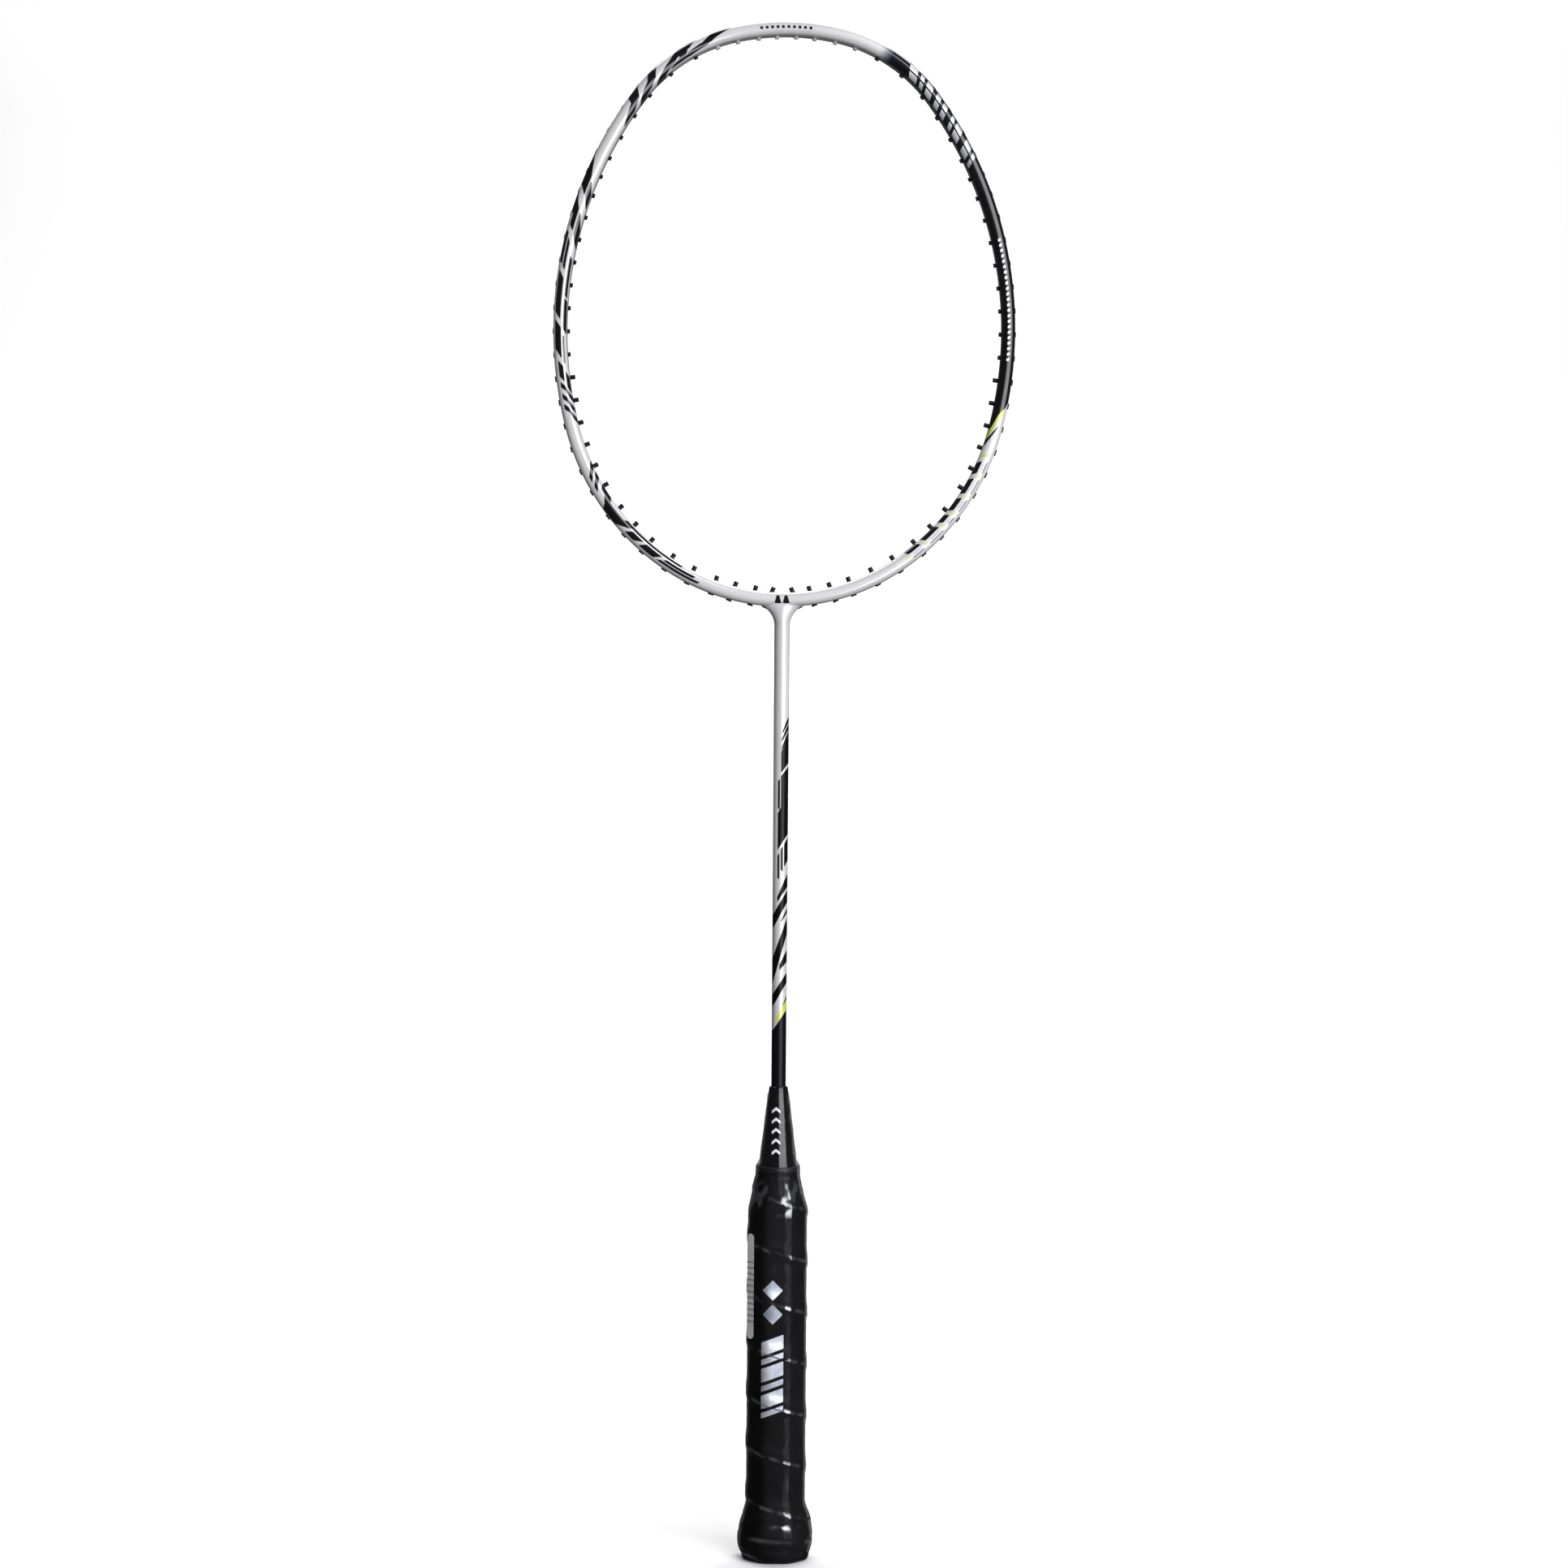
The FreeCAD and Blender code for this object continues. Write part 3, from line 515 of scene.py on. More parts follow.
def make_frame_skin(paint):
    """The painted loop, with its groove and string holes."""
    distances = np.linspace(-HALF_LOOP, HALF_LOOP, LOOP_COLUMNS, endpoint=False)
    skin = make_tube("painted_loop", loop_grid(distances), paint, ("head_frame",))
    drills = make_drills()
    cut = skin.modifiers.new("holes", "BOOLEAN")
    cut.operation = "DIFFERENCE"
    cut.object = drills
    cut.solver = "MANIFOLD"
    apply_modifiers(skin)
    bpy.data.objects.remove(drills)
    keep_layers(skin, paint_on_loop)
    shade(skin, 50)


def paint_on_loop(points):
    """Paint layers at points of the loop, found back from their places."""
    side = np.abs(points[:, 0])
    height = np.zeros(len(points))
    along = np.zeros(len(points))
    best = np.full(len(points), 1e9)
    begun = 0.0
    for centre, radius, start, end in ARCS:
        angle = np.arctan2(side - centre[0], points[:, 2] - centre[1])
        angle = np.where(angle < -1e-3, angle + 2 * math.pi, angle)
        off = np.hypot(side - centre[0], points[:, 2] - centre[1]) - radius
        held = np.clip(angle, start, end)
        miss = np.abs(angle - held) * radius + np.abs(off) * 0.01
        nearer = miss < best
        best = np.where(nearer, miss, best)
        height = np.where(nearer, off, height)
        along = np.where(nearer, begun + (held - start) * radius, along)
        begun += radius * (end - start)
    signed = np.where(points[:, 0] < 0, -along, along)
    return frame_layers(signed, height)


# How much of the loop the neck's skin takes in on each side, and the end of the neck that the
# melting softens.
NECK_SPAN = 26.0
SOFT_END = 0.35


def make_neck_skin(paint):
    """The flared neck, melted into the loop's bottom: closed shapes joined by a fine remesh."""
    distances = np.linspace(HALF_LOOP - NECK_SPAN, HALF_LOOP + NECK_SPAN, 120)
    wrapped = np.where(distances > HALF_LOOP, distances - 2 * HALF_LOOP, distances)
    loop = loop_grid(wrapped, 0.03)
    low = node_heights("head_frame")[0]
    heights = np.linspace(low, FLARE_TOP, 60)[:, None]
    rise = np.clip(heights - (FLARE_TOP - FLARE_RADIUS), 0, FLARE_RADIUS)
    widths = NECK_RADIUS + FLARE_RADIUS - np.sqrt(FLARE_RADIUS ** 2 - rise ** 2)
    depths = NECK_RADIUS + (NECK_DEPTH / 2 - NECK_RADIUS) * smooth_step(low + 2, FLARE_TOP, heights)
    angles = around(64)
    neck = placed(widths * np.cos(angles), depths * np.sin(angles), heights)
    base = loop.shape[0] * loop.shape[1]
    faces = capped_faces(*loop.shape[:2])
    faces += [[base + corner for corner in face] for face in capped_faces(*neck.shape[:2])]
    everything = np.concatenate([loop.reshape(-1, 3), neck.reshape(-1, 3)])
    skin = make_piece("painted_neck", everything, faces, paint, ("head_frame",))
    remesh = skin.modifiers.new("melt", "REMESH")
    remesh.mode = "VOXEL"
    remesh.voxel_size = 0.28 * MM
    smooth = skin.modifiers.new("soften", "SMOOTH")
    smooth.factor = 0.5
    smooth.iterations = 9
    apply_modifiers(skin)
    square_neck_end(skin, low)
    keep_layers(skin, neck_layers)
    shade(skin, 60)


def square_neck_end(skin, low):
    """Stretch the softened lower end back to a flat face at its full height."""
    for vertex in skin.data.vertices:
        height = vertex.co.z / MM
        if height < low + SOFT_END:
            vertex.co.z = low * MM
            reach = math.hypot(vertex.co.x, vertex.co.y)
            if reach > (NECK_RADIUS - 0.8) * MM:
                grow = (NECK_RADIUS - 0.02) * MM / reach
                vertex.co.x *= grow
                vertex.co.y *= grow


def neck_layers(points):
    """The loop's layers of paint, kept off the plain neck below it."""
    layers = paint_on_loop(points)
    on_loop = (np.abs(points[:, 2] - LOOP_BOTTOM) < 4.5) | (np.abs(points[:, 0]) > 12)
    return {layer: np.where(on_loop, values, 0.0) for layer, values in layers.items()}


def lathe(profile, segments):
    """Points of a closed outline of (radius, height) turned round the Z axis."""
    profile = np.array(profile, float)
    return turned(profile[:, :1], around(segments), profile[:, 1:])


def make_shaft(paint):
    """The tapering shaft tube with its slashes."""
    low, high = node_heights("shaft_tube")
    wide = node_radius("shaft_tube")
    narrow = wide - 0.2
    heights = np.append(np.arange(low, high, 0.6), high)
    outer = [(narrow + (wide - narrow) * (z - low) / (high - low), z) for z in heights]
    bore = SHAFT_BORE / 2
    inner = [(bore, high), (bore, (low + high) / 2), (bore, low)]
    shaft = make_tube("painted_shaft", lathe(outer + inner, 56), paint,
                      ("shaft_tube",))
    keep_layers(shaft, shaft_layers)


def rounded_profile(corners, radius, steps=5):
    """An outline whose corners are rounded by arcs of a small radius."""
    profile = []
    corners = [Vector(corner) for corner in corners]
    for before, corner, after in zip(corners[-1:] + corners, corners, corners[1:] + corners):
        sides = (before - corner, after - corner)
        cut = min(radius, *(side.length * 0.45 for side in sides))
        start, end = (corner + side.normalized() * cut for side in sides)
        for step in range(steps + 1):
            t = step / steps
            profile.append(start * (1 - t) ** 2 + corner * 2 * t * (1 - t) + end * t ** 2)
    return profile


def cone_radius(heights):
    """Half the width of the cone cap at given heights."""
    low, high = node_heights("cone_cap")
    foot = node_radius("cone_cap")
    slope = (foot - CONE_LIP_RADIUS) / (high - low)
    return foot - slope * (heights - low)


def make_cone(material):
    """The cone cap between the shaft and the handle, with a rounded lip and pale chevrons."""
    low, high = node_heights("cone_cap")
    foot = node_radius("cone_cap")
    lip = CONE_LIP_RADIUS
    profile = [(foot - 0.3, low), (foot, low + 0.3)]
    profile += [(cone_radius(z), z) for z in np.linspace(low + 1, high - 1.2, 70)]
    profile += [(lip + 0.02, high - 0.5), (lip - 0.15, high - 0.12), (lip - 0.45, high),
                (3.42, high), (3.4, high - 3), (cone_radius(low + 12) - CONE_WALL, low + 12),
                (foot - CONE_WALL, low)]
    cone = make_tube("cone_shell", lathe(profile, 96), material, ("cone_cap",))
    first = (low + high) / 2 - 2 - CHEVRON_PITCH * 2
    marks = []
    for z in first + CHEVRON_PITCH * np.arange(5):
        for side in (-CHEVRON_REACH, CHEVRON_REACH):
            marks.append([(side, z - 1.0), (0.0, z + 0.6), (0.0, z + 1.9), (side, z + 0.3)])
    keep_layers(cone, lambda p: {"chalk": on_front(marks, p, 0.9)})


def on_front(marks, points, shift):
    """A layer of paint on the front only, its middle shifted to the left."""
    return np.where(points[:, 1] < 0, layer_of(marks, points[:, 0] + shift, points[:, 2]), 0.0)


# --- handle ---

# Rays at the CAD model's handle start this far from the axis.
RAY_START = 60.0


def cad_radius(node, heights, angles):
    """Distance from the axis to the outside of a CAD node, at each height and angle."""
    tree = BVHTree.FromObject(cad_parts[node], bpy.context.evaluated_depsgraph_get())
    reach = RAY_START * MM
    found = []
    for height, angle in zip(heights.ravel(), angles.ravel()):
        way = Vector((math.sin(angle), -math.cos(angle), 0))
        hit = tree.ray_cast(way * reach + Vector((0, 0, height * MM)), -way)[0]
        found.append(math.hypot(hit.x, hit.y) / MM if hit else 0.0)
    return np.array(found).reshape(heights.shape)


def measure_growth():
    """How far the handle's sides stand out from the straight grip, by height."""
    low, high = node_heights("grip_film")
    heights = np.linspace(low + 0.02, high - 0.02, 400)
    sides = cad_radius("grip_film", heights, np.full_like(heights, math.pi / 2))
    return heights, sides - GRIP_WIDTH / 2


GROWTH = measure_growth()
HANDLE_SEGMENTS = 160

# How sharp the octagon's corners are, and how much less so at the butt and the tapered tip.
SHARPNESS = 16
BUTT_SOFTENING = 2
BUTT_SPAN = (6, 28)
TIP_SOFTENING = 9
TIP_SPAN = (148, 166)


def handle_radius(heights, angles, inset):
    """Distance from the axis to the handle's rounded octagon, inset from its CAD faces."""
    growth = np.interp(heights, *GROWTH) - inset
    half_width = GRIP_WIDTH / 2 + growth
    half_depth = GRIP_DEPTH / 2 + growth
    bevel = BEVEL_SHARE * (half_width + half_depth)
    sideways = np.abs(np.sin(angles))
    forwards = np.abs(np.cos(angles))
    rounding = (SHARPNESS - BUTT_SOFTENING * (1 - smooth_step(*BUTT_SPAN, heights))
                - TIP_SOFTENING * smooth_step(*TIP_SPAN, heights))
    gauge = ((sideways / half_width) ** rounding + (forwards / half_depth) ** rounding
             + ((sideways + forwards) / (half_width + half_depth - bevel)) ** rounding)
    return gauge ** (-1 / rounding)


# The tape climbs one pitch a turn. Its step is how far each turn stands out over the one below.
TAPE_PITCH = 22.5
TAPE_EDGE_HEIGHT = 109.3 + TAPE_PITCH / 8
TAPE_STEP = 0.42
CORE_CLEARANCE = 0.14

# Insets from the handle's CAD faces: negative stands out.
WRAP_INSET = -0.1
FILM_INSET = -0.25
BUTT_INSET = 0.12
LABEL_INSET = 0.06

# The heights over which the handle flares to its butt, and the folds round the butt.
FLARE_SPAN = (13, 30)
BUTT_FOLDS = (10.8, 17.2)
FOLD_DEPTH = 0.26
FOLD_WIDTH = 0.75


def tape_phase(heights, angles):
    """How far up its turn of tape a point is, from 0 at the turn's lower edge to 1."""
    return ((heights - TAPE_EDGE_HEIGHT) / TAPE_PITCH + angles / (2 * math.pi)) % 1.0


def tape_rise(phase):
    """How far the overlapping tape stands out: high above its lower edge, then flat."""
    over = 1 - smooth_step(0.12, 0.3, phase)
    roll = 0.12 * np.exp(-((phase - 0.02) / 0.02) ** 2)
    return TAPE_STEP * over * smooth_step(-0.001, 0.012, phase) + roll


def grown(inset, heights):
    """The inset for a height: the flared butt keeps within its CAD size."""
    return BUTT_INSET + (inset - BUTT_INSET) * smooth_step(*FLARE_SPAN, heights)


def butt_folds(heights, angles):
    """Shallow folds round the butt, a little lower on the right, like the turns of tape."""
    total = 0.0
    for fold in BUTT_FOLDS:
        off = heights - fold + 1.3 * np.sin(angles)
        total = total + np.exp(-((off / FOLD_WIDTH) ** 2))
    return total


def make_wrap(material):
    """The grip tape, wound up the handle so that each turn overlaps the one below. Its rows follow
    the turns, closest together at the tape's edge."""
    low, high = node_heights("grip_wrap")
    per_turn = np.concatenate([np.linspace(0, 0.016, 5), np.linspace(0.024, 0.06, 4),
                               np.linspace(0.08, 0.34, 10), np.linspace(0.37, 0.97, 22),
                               [0.985, 0.995]])
    first = math.floor((low - TAPE_EDGE_HEIGHT) / TAPE_PITCH)
    last = math.ceil((high - TAPE_EDGE_HEIGHT) / TAPE_PITCH) + 1
    places = np.concatenate([turn + per_turn for turn in range(first, last + 1)])
    phases = np.tile(per_turn, last - first + 1)
    angles = np.linspace(0, 2 * math.pi, HANDLE_SEGMENTS + 1)
    heights = TAPE_EDGE_HEIGHT + TAPE_PITCH * (places[:, None] - angles[None, :] / (2 * math.pi))
    clipped = np.clip(heights, low, high)
    rise = tape_rise(phases)[:, None] - TAPE_STEP
    wobble = 0.06 * ripples(5, 12, (clipped, 14.0), *girth(angles, 12, 16.0))
    fade = smooth_step(low, low + 3, clipped) * smooth_step(high, high - 2, clipped)
    inset = grown(WRAP_INSET, clipped) + 0.07 * fade
    radius = handle_radius(clipped, angles[None, :], inset) + (rise + wobble) * fade
    radius = radius - FOLD_DEPTH * butt_folds(clipped, angles[None, :])
    step = angles[1]
    for turn in (-step, 0.0, step):
        core = cad_radius("handle_core", clipped, np.broadcast_to(angles + turn, clipped.shape))
        radius = np.maximum(radius, core + CORE_CLEARANCE)
    wrap_mesh(turned(radius, angles, clipped), material, (low, high))


def wrap_mesh(points, material, ends):
    """Join the tape's outside, whose rows run on from turn to turn, to its inside."""
    faces = grid_faces(*points.shape[:2], False, False)
    wrap = make_piece("grip_tape", points, faces, material, ("grip_wrap",), 60)
    work = bmesh.new()
    work.from_mesh(wrap.data)
    bmesh.ops.remove_doubles(work, verts=work.verts, dist=2e-6)
    bmesh.ops.dissolve_degenerate(work, edges=work.edges, dist=1e-6)
    inset = WRAP_THICKNESS + 0.03
    for height in ends:
        rim = [e for e in work.edges if e.is_boundary
               and all(abs(v.co.z / MM - height) < 1e-3 for v in e.verts)]
        ring = bmesh.ops.extrude_edge_only(work, edges=rim)["geom"]
        for vertex in (g for g in ring if isinstance(g, bmesh.types.BMVert)):
            angle = math.atan2(vertex.co.x, -vertex.co.y)
            radius = float(handle_radius(np.array(height), np.array(angle), inset)) * MM
            vertex.co = Vector((radius * math.sin(angle), -radius * math.cos(angle), height * MM))
    rims = [e for e in work.edges if e.is_boundary]
    bmesh.ops.bridge_loops(work, edges=rims)
    bmesh.ops.recalc_face_normals(work, faces=work.faces)
    work.to_mesh(wrap.data)
    work.free()
    keep_layers(wrap, lambda p: {"silver": on_front(emblem_marks(), p, 1.8)})
    shade(wrap, 60)


def emblem_marks():
    """A plain foil design on the front of the grip: two diamonds above slanted bars."""
    marks = []
    wide = 4.4
    for z in (119.0, 108.5):
        marks.append([(-wide, z), (0.0, z + wide), (wide, z), (0.0, z - wide)])
    top = 98.0
    wide, lean, gap = 4.8, 1.8, 1.6
    for tall in (6.0, 2.4) * 3:
        foot = top - tall
        marks.append([(-wide, foot - lean), (wide, foot + lean), (wide, top + lean),
                      (-wide, top - lean)])
        top -= tall + gap
    return marks


def sleeve(name, outer, material, replaces):
    """A closed thin shell of film: the given rings of points, and the same rings drawn inwards."""
    middle = outer * np.array([0, 0, 1.0])
    spokes = outer - middle
    reach = np.linalg.norm(spokes, axis=-1, keepdims=True)
    inner = outer - spokes / reach * FILM_THICKNESS
    points = np.concatenate([outer, inner[::-1]])
    return make_tube(name, points, material, replaces, 60)


def make_film(material):
    """The clear film round the grip: it bridges the tape's steps and is drawn into fine wrinkles.
    Under the label it lies flat."""
    low, high = node_heights("grip_film")
    z, a = np.meshgrid(np.linspace(low, high, 300), around(HANDLE_SEGMENTS), indexing="ij")
    phase = tape_phase(z, a)
    above = 1 - smooth_step(0.1, 0.36, phase)
    below = smooth_step(0.9, 0.998, phase)
    rise = TAPE_STEP * np.maximum(above, below)
    wrinkle = ripples(11, 24, (z, 3.6), *girth(a, 12, 7.0))
    creases = ripples(12, 18, (z, 1.7), *girth(a, 12, 3.0))
    ends = smooth_step(low, low + 2, z) * smooth_step(high, high - 2, z)
    calm = 0.35 + 0.65 * smooth_step(10, 24, z)
    radius = handle_radius(z, a, grown(FILM_INSET, z)) - FOLD_DEPTH * butt_folds(z, a)
    radius = radius + (rise - TAPE_STEP + (0.05 * wrinkle + 0.03 * creases) * calm) * ends
    pressed = np.minimum(radius, handle_radius(z, a, LABEL_INSET))
    radius = np.where(under_label(z, a), pressed, radius)
    film = sleeve("grip_film_skin", turned(radius, a, z), material, ("grip_film",))
    keep_layers(film, ridge_layer)


def under_label(heights, angles):
    """Where the film is pressed flat by the sticker on it."""
    low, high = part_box("grip_label")
    places = (np.asarray(angles) + math.pi) % (2 * math.pi) - math.pi
    start = math.atan2(low.x, -high.y)
    end = math.atan2(high.x, -low.y)
    beside = (heights > low.z / MM - 1) & (heights < high.z / MM + 1)
    return beside & (places > start) & (places < end)


def ridge_layer(points):
    """Where the film is drawn tight over the edge of a turn of tape, in broken stretches."""
    angles = np.arctan2(points[:, 0], -points[:, 1])
    up = points[:, 2]
    phase = tape_phase(up, angles)
    ridge = smooth_step(0.985, 0.998, phase) + 1 - smooth_step(0.02, 0.07, phase)
    broken = ripples(31, 9, (up, 9.0), (angles, 0.5))
    ridge = np.clip(ridge, 0, 1) * smooth_step(-0.5, 0.6, broken)
    patches = smooth_step(0.1, 0.7, ripples(32, 9, (up, 7.0), (angles, 0.9)))
    tip = smooth_step(150, 153, up) * smooth_step(167, 164, up)
    folds = np.clip(butt_folds(up + 0.9, angles), 0, 1)
    return {"ridge": np.maximum(ridge, patches * np.maximum(tip * 0.7, folds))}


def make_cone_film(material):
    """The film's upper end: a tent from the ring to the cone, on which it has shrunk tight."""
    foot = node_heights("grip_film")[1]
    high = node_heights("cone_film")[1]
    z, a = np.meshgrid(np.linspace(foot + 0.02, high, 90), around(180), indexing="ij")
    ring_high = node_heights("finishing_ring")[1]
    ring = node_radius("finishing_ring") + 0.08
    tent = ring - (z - ring_high) * 0.62
    lift = 0.25 + 0.1 * ripples(21, 14, (z, 9.0), *girth(a, 7, 9.0))
    radius = np.where(z < ring_high, ring, np.maximum(tent, cone_radius(z) + lift))
    sleeve("cone_film_skin", turned(radius, a, z), material, ("cone_film",))


def make_ring(material):
    """The rubber finishing ring at the cone's foot, with rounded edges."""
    low, high = node_heights("finishing_ring")
    wide = node_radius("finishing_ring")
    corners = [(RING_BORE_RADIUS, low), (wide, low), (wide, high), (RING_BORE_RADIUS, high)]
    make_tube("rubber_ring", lathe(rounded_profile(corners, 0.6), 96), material,
              ("finishing_ring",))


def make_butt(material):
    """The butt cap, its lower edge rounded, dished in the middle."""
    low, high = node_heights("butt_cap")
    angles = around(128)
    outline = handle_radius(np.full(128, 0.9), angles, 0.1)
    rings = []
    for share, z in ((0.001, low + 0.35), (0.45, low + 0.3), (0.62, low + 0.12), (0.75, low),
                     (0.9, low), (0.955, low + 0.12), (0.985, low + 0.4), (1.0, low + 0.85),
                     (1.0, high), (0.5, high), (0.001, high)):
        rings.append(turned(outline * share, angles, z))
    points = np.array(rings)
    make_piece("butt_plate", points, capped_faces(*points.shape[:2]), material,
               ("butt_cap",), 50)


# --- materials ---

# How far the top strip's pale grey painted highlight reaches from the middle, and the label's
# printed rules.
TOP_HIGHLIGHT_REACH = 37.0
RULE_PITCH = 2.6
RULE_MARGINS = (7, 12)


class Shader:
    """A material's node tree with short ways to add nodes."""

    def __init__(self, name):
        self.material = bpy.data.materials.new(name)
        self.material.use_nodes = True
        self.tree = self.material.node_tree
        self.surface = self.tree.nodes["Principled BSDF"]
        self.coords = self.tree.nodes.new("ShaderNodeTexCoord").outputs["Object"]

    def add(self, kind, inputs=(), **settings):
        """A node of a kind, with the values of some of its inputs, and its settings."""
        node = self.tree.nodes.new(kind)
        for key, value in settings.items():
            setattr(node, key, value)
        for key, value in dict(inputs).items():
            node.inputs[key].default_value = value
        return node

    def link(self, out, into):
        self.tree.links.new(out, into)

    def plug(self, sockets, sources):
        """Join each source to its socket, or set the socket where the source is a plain value."""
        for socket, source in zip(sockets, sources):
            if isinstance(source, tuple):
                socket.default_value = (*source, 1)
            elif isinstance(source, (int, float)):
                socket.default_value = source
            else:
                self.link(source, socket)

    def set(self, **values):
        """Set or drive the shader's own inputs."""
        sockets = [self.surface.inputs[key.replace("_", " ")] for key in values]
        self.plug(sockets, values.values())

    def noise(self, scale, detail=3.0, rough=0.5, stretch=None):
        """Smooth noise over the object, which may be stretched along its axes."""
        inputs = {"Scale": scale, "Detail": detail, "Roughness": rough}
        node = self.add("ShaderNodeTexNoise", inputs)
        source = self.coords
        if stretch:
            mapping = self.add("ShaderNodeMapping", {"Scale": stretch})
            self.link(source, mapping.inputs["Vector"])
            source = mapping.outputs["Vector"]
        self.link(source, node.inputs["Vector"])
        return node.outputs["Fac"]

    def cells(self, scale):
        node = self.add("ShaderNodeTexVoronoi", {"Scale": scale})
        self.link(self.coords, node.inputs["Vector"])
        return node.outputs

    def axis(self, name):
        """One of the object's own coordinates, in metres."""
        split = self.add("ShaderNodeSeparateXYZ")
        self.link(self.coords, split.inputs["Vector"])
        return split.outputs[name]

    def ramp(self, fac, stops):
        """Colours or greys at places along a factor, blended between them."""
        node = self.add("ShaderNodeValToRGB")
        elements = node.color_ramp.elements
        while len(elements) < len(stops):
            elements.new(0.5)
        for element, (place, colour) in zip(elements, stops):
            element.position = place
            element.color = (*colour, 1) if isinstance(colour, tuple) else (colour,) * 3 + (1,)
        self.link(fac, node.inputs["Fac"])
        return node.outputs["Color"]

    def tones(self, scale, detail, dark, light, *shape):
        """Noise blended from a dark tone to a light one."""
        return self.ramp(self.noise(scale, detail, *shape), [(0.3, dark), (0.7, light)])

    def mask(self, layer, soft=0.07):
        """1 where a paint layer covers the surface, else 0."""
        attribute = self.add("ShaderNodeAttribute", attribute_name=layer)
        spread = self.add("ShaderNodeMapRange", {"From Min": 1 - soft, "From Max": 1 + soft},
                          interpolation_type="SMOOTHSTEP")
        self.link(attribute.outputs["Fac"], spread.inputs["Value"])
        return spread.outputs["Result"]

    def value(self, layer):
        return self.add("ShaderNodeAttribute", attribute_name=layer).outputs["Fac"]

    def math(self, kind, a, b=0.0):
        node = self.add("ShaderNodeMath", operation=kind)
        self.plug(node.inputs, (a, b))
        return node.outputs["Value"]

    def mix(self, fac, a, b, kind="MIX"):
        """Colour a where the factor is 0 and b where it is 1."""
        node = self.add("ShaderNodeMix", data_type="RGBA", blend_type=kind)
        self.plug((node.inputs[0], node.inputs[6], node.inputs[7]), (fac, a, b))
        return node.outputs[2]

    def finish(self, height, strength, distance=0.0002, **values):
        """Set the shader's own inputs and its fine relief, too small for the mesh."""
        node = self.add("ShaderNodeBump", {"Strength": strength, "Distance": distance})
        self.link(height, node.inputs["Height"])
        self.set(Normal=node.outputs["Normal"], **values)
        return self.material


def pearl_paint():
    """Pearl white lacquer with layers of graphics under a clear coat."""
    s = Shader("pearl_frame_paint")
    fleck = s.ramp(s.cells(5200)["Color"], [(0.0, 0.86), (1.0, 1.0)])
    cloud = s.tones(26, 2, (0.62, 0.62, 0.615), (0.68, 0.68, 0.675))
    pearl = s.mix(1.0, cloud, fleck, "MULTIPLY")
    smoke = s.ramp(s.noise(70, 3), [(0.3, (0.002, 0.002, 0.003)), (0.75, (0.007, 0.006, 0.011))])
    # Lavender-grey painted highlight for the bars between the dark letters on the right half.
    painted_sheen = s.tones(120, 2, (0.36, 0.35, 0.43), (0.48, 0.47, 0.56))
    blend = s.ramp(s.value("faded"), [(0.0, 0.0), (0.35, 0.06), (0.7, 0.5), (1.0, 1.0)])
    ink = s.mix(blend, smoke, s.mix(blend, (0.03, 0.06, 0.16), pearl))
    metal = s.tones(90, 3, (0.34, 0.36, 0.39), (0.74, 0.76, 0.79), 0.5, (1, 1, 0.25))
    silver = s.mask("silver")
    colour = s.mix(s.mask("painted_sheen"), pearl, painted_sheen)
    colour = s.mix(s.mask("dark"), colour, ink)
    colour = s.mix(silver, colour, metal)
    colour = s.mix(s.mask("lime"), colour, (0.56, 0.60, 0.09))
    colour = s.mix(s.mask("chalk"), colour, (0.8, 0.8, 0.8))
    uncoated = s.math("MULTIPLY", s.mask("satin"), 0.9)
    s.set(Base_Color=colour, Roughness=s.tones(240, 2, 0.3, 0.38),
          Metallic=s.math("MAXIMUM", s.math("MULTIPLY", silver, 0.4), 0.12),
          Coat_Weight=s.math("SUBTRACT", 1.0, uncoated))
    return s.finish(s.noise(300, 2), 0.05, Specular_IOR_Level=0.08, Coat_Roughness=0.05,
                    Coat_IOR=1.5)


def black_gloss():
    """Injection-moulded black plastic with a printed pale mark."""
    s = Shader("black_gloss_plastic")
    tone = s.tones(60, 3, (0.003, 0.003, 0.004), (0.006, 0.006, 0.008))
    s.set(Base_Color=s.mix(s.mask("chalk"), tone, (0.75, 0.75, 0.76)),
          Roughness=s.tones(150, 2, 0.07, 0.12))
    return s.finish(s.noise(500, 2), 0.08, 0.0001, Specular_IOR_Level=0.42)


def grip_leather():
    """Black PU grip tape: a fine pebble with pinholes, dusty where it was handled, and foil."""
    s = Shader("black_pu_grip")
    dust = s.noise(42, 5, 0.65)
    tone = s.ramp(dust, [(0.45, (0.003, 0.003, 0.0035)), (0.62, (0.006, 0.006, 0.0065)),
                         (0.8, (0.025, 0.025, 0.027))])
    foil = s.ramp(s.noise(110, 4), [(0.3, (0.30, 0.34, 0.42)), (0.5, (0.52, 0.56, 0.63)),
                                    (0.7, (0.80, 0.83, 0.87))])
    silver = s.mask("silver", 0.1)
    rough = s.mix(silver, s.ramp(dust, [(0.3, 0.5), (0.7, 0.68)]), (0.34, 0.34, 0.34))
    s.set(Base_Color=s.mix(silver, tone, foil), Roughness=rough,
          Metallic=s.math("MULTIPLY", silver, 0.6))
    return s.finish(s.cells(1700)["Distance"], 0.35, Specular_IOR_Level=0.1)


